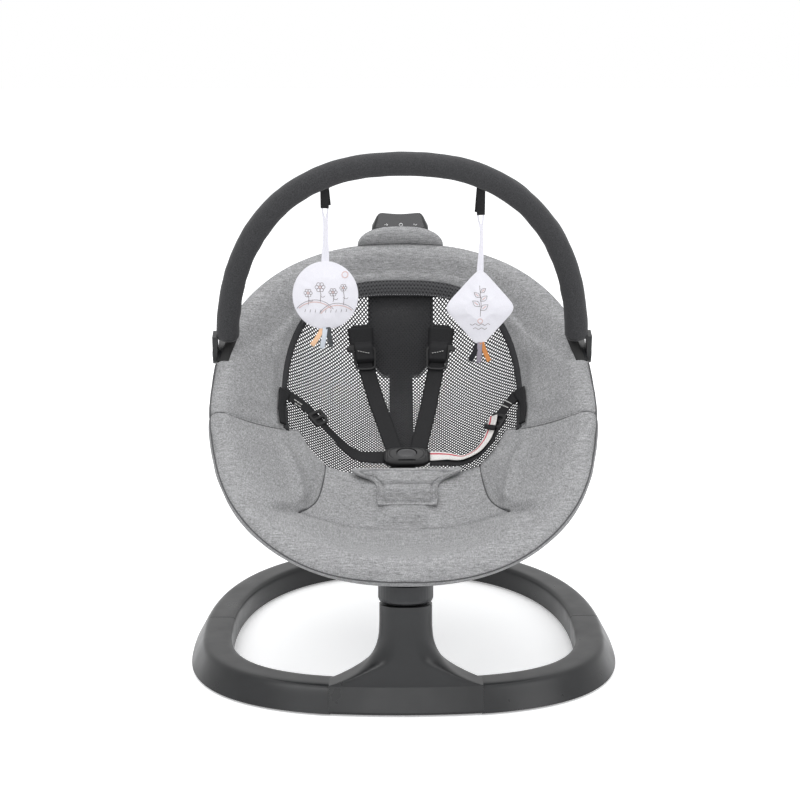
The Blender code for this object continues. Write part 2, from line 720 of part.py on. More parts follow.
def clamp(name, outline, half_width, share):
    """A block with a side outline in the seat frame, cut to sit round the rim tube."""
    plate = mesh_of_curve(outline_curve(name, [outline], half_width * 2), name)
    upright = Matrix((Vector((0, 1, 0)), Vector((0, 0, 1)), Vector((1, 0, 0)))).transposed().to_4x4()
    block = add_object(name, plate, "satin_black", seat_matrix(0.0, 0.0, 0.0) @ upright)
    combine(block, tube_clearance("tube_in_" + name, share - 0.03, share + 0.03), "DIFFERENCE")


def build_clamps():
    """Saddles that carry the rim tube on the hub collar and on the arm's paddle."""
    to_seat = SEAT_TURN.inverted()
    foot = Vector((0.0, SEAT_FOOT_Y, SEAT_FOOT_Z))
    top = to_seat @ (axis_matrix(COLLAR_HEIGHT + GAP * 2).translation - foot)
    up = (to_seat @ AXIS_TURN @ Vector((0.0, 0.0, 1.0)))
    front = Vector((0.0, -up.z, up.y))
    low_front, low_back = top + front * 0.027, top - front * 0.010
    high_back = low_back + up * 0.010
    tube = ROLL_RADIUS
    outline = [(low_front.y, low_front.z), (low_back.y, low_back.z), (high_back.y, high_back.z),
               (tube + 0.0135, -0.005), (tube + 0.002, -0.002), (tube + 0.002, -0.0195)]
    clamp("foot_clamp", outline, FOOT_CLAMP_HALF_WIDTH, 0.0)
    tube = RIM_LENGTH - ROLL_RADIUS
    faces = [spot + face * (ARM_THICKNESS / 2 + GAP * 2) for spot, face, _ in arm_frames()]
    under, below = faces[-4], faces[-5].lerp(faces[-4], 0.45)
    outline = [(under.y, under.z), (tube - 0.003, -0.002), (tube - 0.0135, -0.008), (below.y, below.z + 0.006),
               (below.y, below.z)]
    clamp("head_clamp", outline, HEAD_CLAMP_HALF_WIDTH, 0.5)


def pod_levels():
    """Front line, back line and half width of the control pod, from the arm's end up."""
    spot, face, width = arm_frames()[-1]
    along = face.cross(Vector((1.0, 0.0, 0.0))).normalized()
    start = spot + along * GAP * 2
    half = ARM_THICKNESS / 2
    end = start + along * 0.010
    head = seat_point(0.0, RIM_LENGTH - ROLL_RADIUS, 0.0)
    panel_low, back_low = head + Vector((0.0, 0.0224, 0.0361)), head + Vector((0.0, 0.0604, 0.0396))
    panel_high, back_high = head + Vector((0.0, 0.0424, 0.0586)), head + Vector((0.0, 0.0574, 0.0536))
    return [
        (seat_point(*(start + face * half)), seat_point(*(start - face * half)), width),
        (seat_point(*(end + face * (half - 0.002))), seat_point(*(end - face * (half + 0.006))), width - 0.001),
        (panel_low, back_low, POD_LOW_HALF_WIDTH),
        (panel_high, back_high, POD_TOP_HALF_WIDTH),
    ]


def panel_frame():
    """Frame in the middle of the pod's sloping face, with its height along Y."""
    levels = pod_levels()
    low, high = levels[2][0], levels[3][0]
    up = (high - low).normalized()
    normal = Vector((1.0, 0.0, 0.0)).cross(up)
    turn = Matrix((Vector((1.0, 0.0, 0.0)), up, normal)).transposed().to_4x4()
    return Matrix.Translation((low + high) / 2) @ turn, (high - low).length


def build_pod():
    rings = []
    for front, back, width in pod_levels():
        edge = 0.005
        across = [-width, -width + edge, -width / 2, 0.0, width / 2, width - edge, width]
        inset = [edge, 0.001, 0.0, 0.0, 0.0, 0.001, edge]
        depth = (back - front).normalized()
        face = [front + Vector((x, 0, 0)) + depth * d for x, d in zip(across, inset)]
        rear = [back + Vector((x, 0, 0)) - depth * d for x, d in zip(across, inset)]
        rings.append(face + rear[::-1])
    loft("control_pod", rings, "satin_black")
    frame, height = panel_frame()
    low, high = POD_LOW_HALF_WIDTH - 0.006, POD_TOP_HALF_WIDTH - 0.004
    outline = [(-low, -height / 2 + 0.002), (low, -height / 2 + 0.002), (high, height / 2 - 0.002),
               (0.012, height / 2 - 0.0031), (-0.012, height / 2 - 0.0031), (-high, height / 2 - 0.002)]
    panel = outline_curve("control_panel", [outline], 0.0012)
    add_object("control_panel", panel, "button_black", frame @ Matrix.Translation((0, 0, 0.0006 + GAP)))


def rim_shares():
    """Stations round the rim that the tube and the cover share, right side only."""
    seam = RIM.share_at(WING_SEAM_W)
    front = [seam * (1 - i / 13) for i in range(14)]
    head = [mix(seam, 0.5, i / 14) for i in range(15)]
    return seam, front, head


def build_rim_tube():
    """The oval frame: a lower and an upper U of steel tube that meet in the side brackets."""
    seam, front, head = rim_shares()
    joint = RIM.share_at(PIVOT_W)
    slip = 0.001 / RIM.length
    lower_right = front[::-1] + [share for share in head[1:] if share < joint - 0.004] + [joint - slip]
    upper_right = [joint + slip] + [share for share in head if share > joint + 0.004]
    lower = [1 - share for share in lower_right[:0:-1]] + lower_right
    upper = upper_right + [1 - share for share in upper_right[-2::-1]]
    for name, shares in (("frame_tube_lower", lower), ("frame_tube_upper", upper)):
        skins = [[rim_circle(share, radius) for share in shares] for radius in (TUBE_RADIUS, TUBE_BORE)]
        add_object(name, pipe_mesh(name, *skins), "steel")


def rim_circle(share, radius):
    """A ring of points round the rim's middle line."""
    middle, out = RIM.place(share), RIM.outward(share)
    ring = []
    for k in range(TUBE_SIDES):
        angle = 2 * math.pi * (k + 0.5) / TUBE_SIDES
        spot = middle + out * radius * math.cos(angle)
        ring.append(seat_point(spot.x, spot.y, radius * math.sin(angle)))
    return ring


def tube_clearance(name, low_share, high_share):
    """A fat copy of the rim tube over one stretch, which a clamp is cut with."""
    shares = shares_between(low_share, high_share, 9)
    spots = [RIM.place(share) for share in shares]
    points = [seat_point(spot.x, spot.y, 0.0) for spot in spots]
    return make_cutter(name, mesh_of_curve(poly_curve(name, points, TUBE_RADIUS + GAP * 3, 4), name))


def cover_ring(share, inner, swell):
    """Section of the padded cover: round the tube, over its top and down into the bowl."""
    middle, out = RIM.place(share), RIM.outward(share)
    top, under = [], []
    for i in range(7):
        angle = mix(ROLL_START, ROLL_END, i / 6)
        for row, radius in ((top, ROLL_RADIUS), (under, ROLL_BORE)):
            spot = middle + out * radius * math.cos(angle)
            row.append(seat_point(spot.x, spot.y, radius * math.sin(angle)))
    crest = middle + out * ROLL_RADIUS * math.cos(ROLL_END)
    run = (Vector(inner) - crest).length
    fill = swell * min(run / 0.08, 1.0)
    for i in range(1, 7):
        share_in = i / 6
        spot = crest.lerp(Vector(inner), share_in)
        top.append(on_seat(spot.x, spot.y, COVER_CROWN * fill * (1 - abs(2 * share_in - 1) ** 3)))
        sag = COVER_SAG * fill * math.sin(math.pi * share_in) ** 4
        under.append(on_seat(spot.x, spot.y, -COVER_EDGE - sag))
    return top + under[::-1]


def window_edge(share):
    """Right half of the mesh window's edge, from the wing seam at 0 to the head at 1."""
    angle = ease_angle(share)
    u, w = superellipse(angle, WINDOW_HALF_WIDTH, WINDOW_RISE, WINDOW_POWER)
    if angle > 0:
        return Vector((u, WINDOW_MIDDLE_W + w))
    foot = seam_point()
    return foot.lerp(Vector((WINDOW_HALF_WIDTH, WINDOW_MIDDLE_W)), share / 0.14)


def ease_angle(share):
    return max(share - 0.14, 0.0) / 0.86 * math.pi / 2


def seam_point():
    """Where the wing seam meets the mesh window, on its line from the rim to the front cover."""
    seam = RIM.share_at(WING_SEAM_W)
    crest = RIM.place(seam) + RIM.outward(seam) * ROLL_RADIUS * math.cos(ROLL_END)
    inner = Vector(WING_SEAM_INNER)
    return crest.lerp(inner, (crest.x - WINDOW_FOOT_U) / (crest.x - inner.x))


def window_points(count):
    """The window's right edge from the wing seam to the head, evenly spaced."""
    fine = [window_edge(i / 200) for i in range(201)]
    steps = np.cumsum([0.0] + [(b - a).length for a, b in zip(fine, fine[1:])])
    us, ws = [p.x for p in fine], [p.y for p in fine]
    spots = np.linspace(0.0, steps[-1], count)
    return [Vector((float(np.interp(s, steps, us)), float(np.interp(s, steps, ws)))) for s in spots]


def build_head_cover():
    seam, _, head = rim_shares()
    right = list(head)
    right[0] = seam + SEWN_GAP / RIM.length
    inner = window_points(15)
    inner[0] = inner[0] + Vector((0.0, SEWN_GAP))
    rings = []
    for i, (share, spot) in enumerate(zip(right, inner)):
        rings.append(cover_ring(share, spot, 1 - (1 - i / 14) ** 6))
    left = [[mirror_x(p) for p in ring] for ring in rings[:-1]]
    cover = loft("cover_head", rings + left[::-1], "grey_melange")
    for side, name in ((1, "right"), (-1, "left")):
        notch = box_mesh("bracket_notch_" + name, (-NOTCH_INWARD, -NOTCH_HALF_LENGTH, -0.03),
                         (NOTCH_OUTWARD, NOTCH_HALF_LENGTH, 0.03))
        if side < 0:
            notch.transform(Matrix.Scale(-1, 4, (1, 0, 0)))
            notch.flip_normals()
        out, spot = RIM.outward(RIM.share_at(PIVOT_W)), RIM.place(RIM.share_at(PIVOT_W))
        place = seat_matrix(side * spot.x, spot.y, 0.0, side * math.atan2(out.y, out.x))
        cutter = make_cutter("bracket_notch_" + name, notch, place)
        combine(cover, cutter, "DIFFERENCE")


def mirror_x(point):
    return Vector((-point.x, point.y, point.z))


def cushion_front(u):
    """Front seam of the seat cushion across the seat."""
    return CUSHION_FRONT_W + CUSHION_FRONT_BOW * (1 - (u / CUSHION_FRONT_HALF) ** 2)


def front_inner_points():
    """Inner edge of the front cover, from the wing seam round to the middle of the front."""
    points = [Vector(WING_SEAM_INNER)] + [Vector(p) for p in CREASE]
    for i in range(7):
        u = CUSHION_FRONT_HALF * (1 - i / 6)
        points.append(Vector((u, cushion_front(u))))
    return points


def build_front_cover():
    seam, front, _ = rim_shares()
    shares = list(front)
    shares[0] = seam - SEWN_GAP / RIM.length
    inner = front_inner_points()
    inner[0] = inner[0] - Vector((0.0, SEWN_GAP))
    rings = []
    for i, (share, spot) in enumerate(zip(shares, inner)):
        rings.append(cover_ring(share, spot, 1 - (1 - i / 13) ** 6))
    left = [[mirror_x(p) for p in ring] for ring in rings[:-1]]
    loft("cover_front", rings + left[::-1], "grey_melange")


def pad_rows(name, rows, look, top_lift, under_lift, crown, sag):
    """A crowned pad on the bowl over rows of (u, w) points, sewn flat at its edges."""
    rings = []
    for j, row in enumerate(rows):
        along = 1 - abs(2 * j / (len(rows) - 1) - 1) ** 3
        top, under = [], []
        for i, (u, w) in enumerate(row):
            across = 1 - abs(2 * i / (len(row) - 1) - 1) ** 3
            top.append(on_seat(u, w, top_lift + crown * along * across))
            under.append(on_seat(u, w, under_lift - sag * along * across))
        rings.append(top + under[::-1])
    return loft(name, rings, look)


def build_cushion():
    side = [Vector((CUSHION_FRONT_HALF, CUSHION_FRONT_W))] + [Vector(p) for p in reversed(CREASE[2:])]
    rows = []
    for j, edge in enumerate(side):
        share = j / (len(side) - 1)
        bow = mix(CUSHION_FRONT_BOW, CUSHION_REAR_BOW, share)
        half = edge.x - SEWN_GAP
        row = []
        for i in range(13):
            u = half * (i / 6 - 1)
            row.append((u, edge.y + SEWN_GAP * (1 - share) + bow * (1 - (u / half) ** 2)))
        rows.append(row)
    pad_rows("seat_cushion", rows, "grey_melange", 0.0, -COVER_EDGE, COVER_CROWN, COVER_SAG * 0.7)


def build_mesh_panel():
    """The breathable back panel, tucked a few millimetres under the pads round it."""
    window = window_points(9)
    lower = ((0.100, 0.4528), (0.1215, 0.4749), (0.135, 0.497), (0.148, 0.5162), (0.172, 0.5229))
    edges = [Vector((side, share * RIM_LENGTH)) for side, share in lower] + window[1:-1]
    rows = []
    for edge in edges:
        half = edge.x + MESH_MARGIN
        rows.append([(half * math.sin(math.pi / 2 * (i / 6 - 1)), edge.y) for i in range(13)])
    last = rows[-1]
    top = window[-1].y + MESH_MARGIN
    rows.append([(u * 0.62, top - 0.004 * (u / last[0][0]) ** 2) for u, _ in last])
    under = COVER_EDGE + MESH_DROP
    pad_rows("mesh_panel", rows, "black_mesh", -under, -under - MESH_THICKNESS, 0.0, 0.0)


def build_crotch_pad():
    profile = ((0.3481, 0.042), (0.3628, 0.044), (0.3864, 0.044), (0.4071, 0.045), (0.4248, 0.056),
               (0.4366, 0.074), (0.4454, 0.082), (0.4543, 0.079))
    rows = []
    for share, half in profile:
        rows.append([(BUCKLE_U + half * (i / 5 - 1), share * RIM_LENGTH) for i in range(11)])
    base = COVER_CROWN + 0.0015
    pad_rows("crotch_pad", rows, "grey_melange", base + 0.005, base, 0.005, 0.0)


def build_head_roll():
    """The fabric roll that hugs the front of the pod."""
    rim_top = seat_point(0.0, RIM_LENGTH - ROLL_RADIUS, 0.0)
    radius = 0.0085
    rings = []
    for i in range(13):
        share = i / 6 - 1
        x = 0.061 * share
        size = radius * (1 - abs(share) ** 4) ** 0.5 + 0.0008
        middle = Vector((x, rim_top.y + 0.0075, rim_top.z + 0.0262 - 0.006 * share ** 2))
        ring = []
        for k in range(10):
            angle = math.pi * 2 * k / 10
            ring.append(middle + Vector((0.0, size * math.cos(angle), size * 1.1 * math.sin(angle))))
        rings.append(ring)
    return loft("head_roll", rings, "grey_melange")


def build_brackets():
    joint = RIM.share_at(PIVOT_W)
    middle = RIM.place(joint)
    for side, name in ((1, "right"), (-1, "left")):
        block = box_mesh("side_bracket_" + name, (0.0005, -BRACKET_HALF_LENGTH, -0.0145),
                         (BRACKET_FACE, BRACKET_HALF_LENGTH, 0.0085))
        if side < 0:
            block.transform(Matrix.Scale(-1, 4, (1, 0, 0)))
            block.flip_normals()
        place = seat_matrix(side * middle.x, PIVOT_W, 0.0)
        part = add_object("side_bracket_" + name, block, "satin_black", place)
        share = joint if side > 0 else 1 - joint
        reach = 0.045 / RIM.length
        combine(part, tube_clearance("tube_in_bracket_" + name, share - reach, share + reach), "DIFFERENCE")
        pin_hole = cylinder_mesh("pin_hole_" + name, PIVOT_PIN_RADIUS + GAP, -0.002, 0.02, 16)
        hole = make_cutter("pin_hole_" + name, pin_hole, pivot_matrix(side))
        combine(part, hole, "DIFFERENCE")


def pivot_point():
    """The toy bar's pivot on the seat's middle plane."""
    return seat_point(0.0, PIVOT_W, 0.0)


def pivot_matrix(side):
    """A frame on the bar's pivot axis at the rim tube, its Z pointing out to the side."""
    middle = RIM.place(RIM.share_at(PIVOT_W)).x
    turn = Matrix.Rotation(math.pi / 2 * side, 4, "Y")
    return Matrix.Translation(pivot_point() + Vector((middle * side, 0, 0))) @ turn


def bar_point(x, rise, forward=0.0):
    """World place in the leaning plane of the toy bar."""
    up = Vector((0.0, -math.sin(BAR_LEAN), math.cos(BAR_LEAN)))
    front = Vector((0.0, -math.cos(BAR_LEAN), -math.sin(BAR_LEAN)))
    return pivot_point() + Vector((x, 0.0, 0.0)) + up * rise + front * forward


def bar_path(start, count):
    """Evenly spaced (x, rise) points of the bar's arch from a height on each leg."""
    angles = np.linspace(0.0, math.pi, 721)
    fine = [superellipse(angle, BAR_HALF_WIDTH, BAR_RISE, BAR_POWER) for angle in angles]
    fine = [p for p in fine if p[1] >= start]
    fine = [(BAR_HALF_WIDTH, start)] + fine[1:-1] + [(-BAR_HALF_WIDTH, start)]
    steps = np.cumsum([0.0] + [math.dist(a, b) for a, b in zip(fine, fine[1:])])
    spots = np.linspace(0.0, steps[-1], count)
    xs, rises = [p[0] for p in fine], [p[1] for p in fine]
    return [(float(np.interp(s, steps, xs)), float(np.interp(s, steps, rises))) for s in spots]


def rings_round(path, radius, sides):
    """Rings square to a path in the bar's plane."""
    rings = []
    for i, (x, rise) in enumerate(path):
        before, after = path[max(i - 1, 0)], path[min(i + 1, len(path) - 1)]
        along = Vector((after[0] - before[0], after[1] - before[1])).normalized()
        if i in (0, len(path) - 1):
            along = Vector((0.0, 1.0 if i == 0 else -1.0))
        out = Vector((along.y, -along.x))
        ring = []
        for k in range(sides):
            angle = 2 * math.pi * (k + 0.5) / sides
            reach = radius * math.cos(angle)
            ring.append(bar_point(x + out.x * reach, rise + out.y * reach, radius * math.sin(angle)))
        rings.append(ring)
    return rings


def build_toy_bar():
    path = bar_path(SLEEVE_START, 25)
    sleeve = pipe_mesh("bar_sleeve", rings_round(path, SLEEVE_RADIUS, 10),
                       rings_round(path, BAR_TUBE_RADIUS + 0.0008, 10))
    add_object("bar_sleeve", sleeve, "dark_sleeve")
    skins = [rings_round(path, radius, 8) for radius in (BAR_TUBE_RADIUS, BAR_TUBE_BORE)]
    add_object("bar_tube", pipe_mesh("bar_tube", *skins), "steel")
    for side, name in ((1, "right"), (-1, "left")):
        build_socket(side, name)


def build_socket(side, name):
    """End piece of the bar: an eye on the pivot, a shoulder under the sleeve and a plug in it."""
    face = RIM.place(RIM.share_at(PIVOT_W)).x + BRACKET_FACE + GAP * 2
    top = SLEEVE_START - GAP
    outline = []
    for k in range(13):
        angle = math.pi + math.pi * k / 12
        outline.append((SOCKET_EYE_RADIUS * math.cos(angle), SOCKET_EYE_RADIUS * math.sin(angle)))
    half = SOCKET_BLADE_HALF
    outline += [(half, top - 0.006), (half, top), (-half, top), (-half, top - 0.006)]
    plate = mesh_of_curve(outline_curve("blade_" + name, [outline], SOCKET_BLADE), "bar_socket_" + name)
    upright = Matrix((Vector((0, 1, 0)), Vector((0, 0, 1)), Vector((1, 0, 0)))).transposed().to_4x4()
    lean = Matrix.Rotation(BAR_LEAN, 4, "X")
    blade = pivot_point() + Vector((side * (face + SOCKET_BLADE / 2), 0, 0))
    place = Matrix.Translation(blade) @ lean @ upright
    part = add_object("bar_socket_" + name, plate, "satin_black", place)
    stand = Matrix.Translation(pivot_point() + Vector((side * BAR_HALF_WIDTH, 0, 0))) @ lean
    shoulder = cylinder_mesh("shoulder_" + name, SLEEVE_RADIUS - 0.0006, top - SOCKET_SHOULDER, top, 24)
    combine(part, make_cutter("shoulder_" + name, shoulder, stand), "UNION")
    reach = sorted((0.0, side * (face + SOCKET_BLADE / 2 - BAR_HALF_WIDTH)))
    inset = SOCKET_BRIDGE_INSET
    low, high = (reach[0], inset - half, top - SOCKET_SHOULDER + inset), (reach[1], half - inset, top - inset)
    combine(part, make_cutter("bridge_" + name, box_mesh("bridge_" + name, low, high), stand), "UNION")
    eye = cylinder_mesh("eye_hole_" + name, PIVOT_PIN_RADIUS + GAP, -0.002, 0.04, 16)
    hole = make_cutter("eye_hole_" + name, eye, pivot_matrix(side))
    combine(part, hole, "DIFFERENCE")
    pin_end = BRACKET_FACE + GAP * 2 + SOCKET_BLADE
    pin_start = TUBE_RADIUS + GAP * 3
    pin = [(0.0, pin_end + 0.0015), (0.0045, pin_end + 0.0015), (0.0052, pin_end + GAP),
           (PIVOT_PIN_RADIUS, pin_end + GAP), (PIVOT_PIN_RADIUS, pin_start), (0.0, pin_start)]
    turned("bar_pin_" + name, pin, "steel", pivot_matrix(side), 16)


def strap_on_seat(name, route, width, lift, look):
    """A flat webbing strap over the bowl along a list of (u, w) points."""
    rings = []
    for i, (u, w) in enumerate(route):
        before, after = route[max(i - 1, 0)], route[min(i + 1, len(route) - 1)]
        along = Vector((after[0] - before[0], after[1] - before[1], 0.0)).normalized()
        side = Vector((along.y, -along.x, 0.0))
        half = side * width / 2
        ring = []
        corners = ((-half, STRAP_THICKNESS), (half, STRAP_THICKNESS), (half, 0.0), (-half, 0.0))
        for edge, height in corners:
            ring.append(on_seat(u + edge.x, w + edge.y, lift + height))
        rings.append(ring)
    return loft(name, rings, look)


def route_between(points, count):
    """Evenly spaced places along a chain of (u, w) points."""
    steps = np.cumsum([0.0] + [math.dist(a, b) for a, b in zip(points, points[1:])])
    spots = np.linspace(0.0, steps[-1], count)
    us, ws = [p[0] for p in points], [p[1] for p in points]
    return [(float(np.interp(s, steps, us)), float(np.interp(s, steps, ws))) for s in spots]


def adjuster(name, u, w, turn, lift, look="satin_black"):
    """A three-bar slide: an outline with two slots, flat on its strap."""
    half_w, half_l, bar = STRAP_WIDTH / 2 + 0.004, 0.012, 0.003
    slot_w = half_w - bar
    outer = [(-half_w, -half_l + 0.002), (-half_w + 0.002, -half_l), (half_w - 0.002, -half_l),
             (half_w, -half_l + 0.002), (half_w, half_l - 0.002), (half_w - 0.002, half_l),
             (-half_w + 0.002, half_l), (-half_w, half_l - 0.002)]
    slots = []
    for low, high in ((-half_l + bar, -bar * 0.6), (bar * 0.6, half_l - bar)):
        slots.append([(-slot_w, low), (-slot_w, high), (slot_w, high), (slot_w, low)])
    plate = outline_curve(name, [outer] + slots, 0.004)
    height = seat_level(u, w)
    step = 0.01
    slope_u = (seat_level(u + step, w) - seat_level(u - step, w)) / (2 * step)
    slope_w = (seat_level(u, w + step) - seat_level(u, w - step)) / (2 * step)
    normal = Vector((-slope_u, -slope_w, 1.0)).normalized()
    lay = Vector((0, 0, 1)).rotation_difference(normal).to_matrix().to_4x4()
    spot = seat_point(*(Vector((u, w, height)) + normal * (lift + 0.002)))
    place = Matrix.Translation(spot) @ SEAT_TURN @ lay @ Matrix.Rotation(turn, 4, "Z")
    return add_object(name, plate, look, place)


def build_harness():
    base = LIFT_ON_MESH
    over = base + STRAP_THICKNESS
    buckle_top = BUCKLE_W + BUCKLE_LENGTH / 2 + 0.001
    buckle_side = BUCKLE_WIDTH / 2 + 0.001
    for side, name in ((1, "right"), (-1, "left")):
        u = side * SHOULDER_U
        foot = (BUCKLE_U + side * 0.0165, buckle_top)
        run = route_between([(u, SHOULDER_TOP_W + 0.008), (u, ADJUSTER_W - 0.014), foot], 12)
        strap_on_seat("shoulder_strap_" + name, run, STRAP_WIDTH, base, "webbing")
        adjuster("shoulder_adjuster_" + name, u, ADJUSTER_W, 0.0, over + 0.0012)
        start = (BUCKLE_U + side * buckle_side, BUCKLE_W + 0.002)
        bend = (side * 0.078, BUCKLE_W + 0.004)
        hip, end = (side * 0.120, 0.5752 * RIM_LENGTH), (side * 0.158, 0.6217 * RIM_LENGTH)
        run = route_between([start, bend, hip, end], 11)
        look = "webbing" if side < 0 else "white_tape"
        strap_on_seat("waist_strap_" + name, run, STRAP_WIDTH, base, look)
        turn = side * math.radians(-50)
        adjuster("waist_adjuster_" + name, side * 0.121, 0.5782 * RIM_LENGTH, turn, over + 0.0026)
        low, high = (side * 0.1795, 0.531 * RIM_LENGTH), (side * 0.183, 0.6202 * RIM_LENGTH)
        anchor = route_between([low, high], 4)
        strap_on_seat("side_anchor_" + name, anchor, 0.010, 0.0045, "webbing")
    crotch_start = BUCKLE_W - BUCKLE_LENGTH / 2 - 0.001
    crotch = route_between([(BUCKLE_U, crotch_start), (BUCKLE_U, 0.4329 * RIM_LENGTH)], 4)
    strap_on_seat("crotch_strap", crotch, STRAP_WIDTH, 0.0025, "webbing")
    build_buckle()


def oval(half_x, half_y, power, count):
    return [superellipse(2 * math.pi * k / count, half_x, half_y, power) for k in range(count)]


def build_buckle():
    """Centre buckle with its oval release button in a pocket."""
    level = seat_level(BUCKLE_U, BUCKLE_W) + 0.002
    place = seat_matrix(BUCKLE_U, BUCKLE_W, level)
    rings = []
    for height, inset in ((0.0, 0.003), (0.003, 0.0), (BUCKLE_HEIGHT - 0.004, 0.0),
                          (BUCKLE_HEIGHT - 0.0012, 0.0016), (BUCKLE_HEIGHT, 0.005)):
        outline = oval(BUCKLE_WIDTH / 2 - inset, BUCKLE_LENGTH / 2 - inset, 3.2, 28)
        start = [Vector((x, y, height)) for x, y in outline]
        rings.append(start)
    mesh = loft_mesh("buckle_body", rings)
    body = add_object("buckle_body", mesh, "satin_black", place)
    pocket_low = BUCKLE_HEIGHT - BUTTON_POCKET
    centre = Vector((0.0, 0.002, 0.0))
    pocket = [[Vector((x, y, height)) + centre for x, y in oval(BUTTON_HALF_WIDTH + BUTTON_GAP,
                                                                BUTTON_HALF_LENGTH + BUTTON_GAP, 2.0, 24)]
              for height in (pocket_low, BUCKLE_HEIGHT + 0.01)]
    combine(body, make_cutter("button_pocket", loft_mesh("button_pocket", pocket), place), "DIFFERENCE")
    button_low = pocket_low + 0.0034
    rings = []
    for height, inset in ((button_low, 0.0), (BUCKLE_HEIGHT - 0.0004, 0.0), (BUCKLE_HEIGHT + 0.0004, 0.0012)):
        rings.append([Vector((x, y, height)) + centre for x, y in oval(BUTTON_HALF_WIDTH - inset,
                                                                       BUTTON_HALF_LENGTH - inset, 2.0, 24)])
    add_object("buckle_button", loft_mesh("buckle_button", rings), "button_black", place)


def toy_hinge(side):
    """Foot of a toy's webbing loop, where the toy hangs."""
    rise = BAR_RISE * (1 - (TOY_X / BAR_HALF_WIDTH) ** BAR_POWER) ** (1 / BAR_POWER)
    middle = bar_point(side * TOY_X, rise)
    drop = RIGHT_LOOP_DROP if side > 0 else LEFT_LOOP_DROP
    return middle, middle - Vector((0.0, 0.0, SLEEVE_RADIUS + drop))


def build_loop(side, name):
    """A doubled webbing tab sewn under the sleeve, from which a toy hangs."""
    middle, foot = toy_hinge(side)
    slope = BAR_RISE / BAR_HALF_WIDTH * (TOY_X / BAR_HALF_WIDTH) ** (BAR_POWER - 1)
    slope *= (1 - (TOY_X / BAR_HALF_WIDTH) ** BAR_POWER) ** (1 / BAR_POWER - 1)
    under = SLEEVE_RADIUS / math.cos(math.atan(slope)) + LOOP_SLACK
    half_width, half_depth = LOOP_WIDTH / 2, LOOP_THICKNESS + LOOP_FOLD / 2
    rings = []
    for share in (0.0, 0.35, 0.7, 1.0):
        ring = []
        for x, y in ((-1, -1), (1, -1), (1, 1), (-1, 1)):
            top = -under - side * slope * x * half_width
            spot = Vector((x * half_width, y * half_depth, mix(top, foot.z - middle.z, share)))
            ring.append(middle + spot)
        rings.append(ring)
    return loft("toy_loop_" + name, rings, "webbing")


def hanging_strip(name, start, end, width_top, width_end, look, depth=0.0012):
    across = Vector((1.0, 0.0, 0.0))
    rings = []
    for share in (0.0, 0.35, 0.7, 1.0):
        spot = start.lerp(end, share)
        width = mix(width_top, width_end, share)
        left, right = spot - across * width / 2, spot + across * width / 2
        back = Vector((0.0, depth, 0.0))
        rings.append([left, right, right + back, left + back])
    return loft(name, rings, look)


def pillow(name, centre, half_x, half_z, power, look):
    """A crowned fabric toy: its outline shrinks towards the middle of each face."""
    rings = []
    profile = ((-1.0, 0.30), (-0.86, 0.68), (-0.45, 0.93), (0.0, 1.0), (0.45, 0.93), (0.86, 0.68), (1.0, 0.30))
    for depth, size in profile:
        ring = []
        for x, z in oval(half_x * size, half_z * size, power, 28):
            ring.append(centre + Vector((x, depth * TOY_THICKNESS / 2, z)))
        rings.append(ring)
    return loft(name, rings, look)


def build_tails(name, top):
    """Three ribbon ends that leave one sewn band, cut from one cloth."""
    band, thick = 0.003, 0.0012
    tails = []
    for offset, spread in ((-0.0078, -0.014), (0.0, -0.001), (0.0078, 0.012)):
        half = TAIL_WIDTH / 2
        tails.append([(offset - half, -band), (offset + spread - half, -TAIL_LENGTH),
                      (offset + spread + half, -TAIL_LENGTH + 0.001), (offset + half, -band)])
    outline = [(0.0078 + TAIL_WIDTH / 2, 0.0), (-0.0078 - TAIL_WIDTH / 2, 0.0)]
    for tail in tails:
        outline += tail
    plate = outline_curve(name, [outline], thick)
    upright = Matrix.Rotation(math.pi / 2, 4, "X")
    add_object(name, plate, "white_cloth", Matrix.Translation(top) @ upright)


def build_toys():
    kinds = ((-1, "left", DISC_RADIUS, DISC_RADIUS + 0.001, 2.0),
             (1, "right", DIAMOND_HALF_WIDTH, DIAMOND_HALF_HEIGHT, 1.3))
    for side, name, half_x, half_z, power in kinds:
        build_loop(side, name)
        _, foot = toy_hinge(side)
        top = foot - Vector((0.0, 0.0, RIBBON_DROP))
        low = top - Vector((0.0, 0.0, RIBBON_LENGTH))
        hanging_strip("toy_ribbon_" + name, top - Vector((0, 0.0006, 0)), low - Vector((0, 0.0006, 0)),
                      RIBBON_WIDTH * 0.6, RIBBON_WIDTH, "white_cloth")
        centre = low - Vector((0.0, 0.0, half_z + GAP))
        pillow("toy_body_" + name, centre, half_x, half_z, power, "white_cloth")
        under = centre - Vector((0.0, 0.0, half_z + GAP))
        build_tails("toy_tails_" + name, under)


def build_empties():
    """Axes of the moving bodies, each the parent of the pieces that it carries."""
    swing = bpy.data.objects.new("swing_axis", None)
    swing.matrix_world = axis_matrix(0.0)
    bar = bpy.data.objects.new("toy_bar_axis", None)
    bar.matrix_world = Matrix.Translation(pivot_point())
    toys = {}
    for side, name in ((-1, "left"), (1, "right")):
        toys[name] = bpy.data.objects.new("toy_axis_" + name, None)
        toys[name].matrix_world = Matrix.Translation(toy_hinge(side)[1])
    for empty in (swing, bar, *toys.values()):
        PARTS.objects.link(empty)
    return swing, bar, toys


def hang_on(empty, parts):
    for part in parts:
        part.parent = empty
        part.matrix_parent_inverse = empty.matrix_world.inverted()


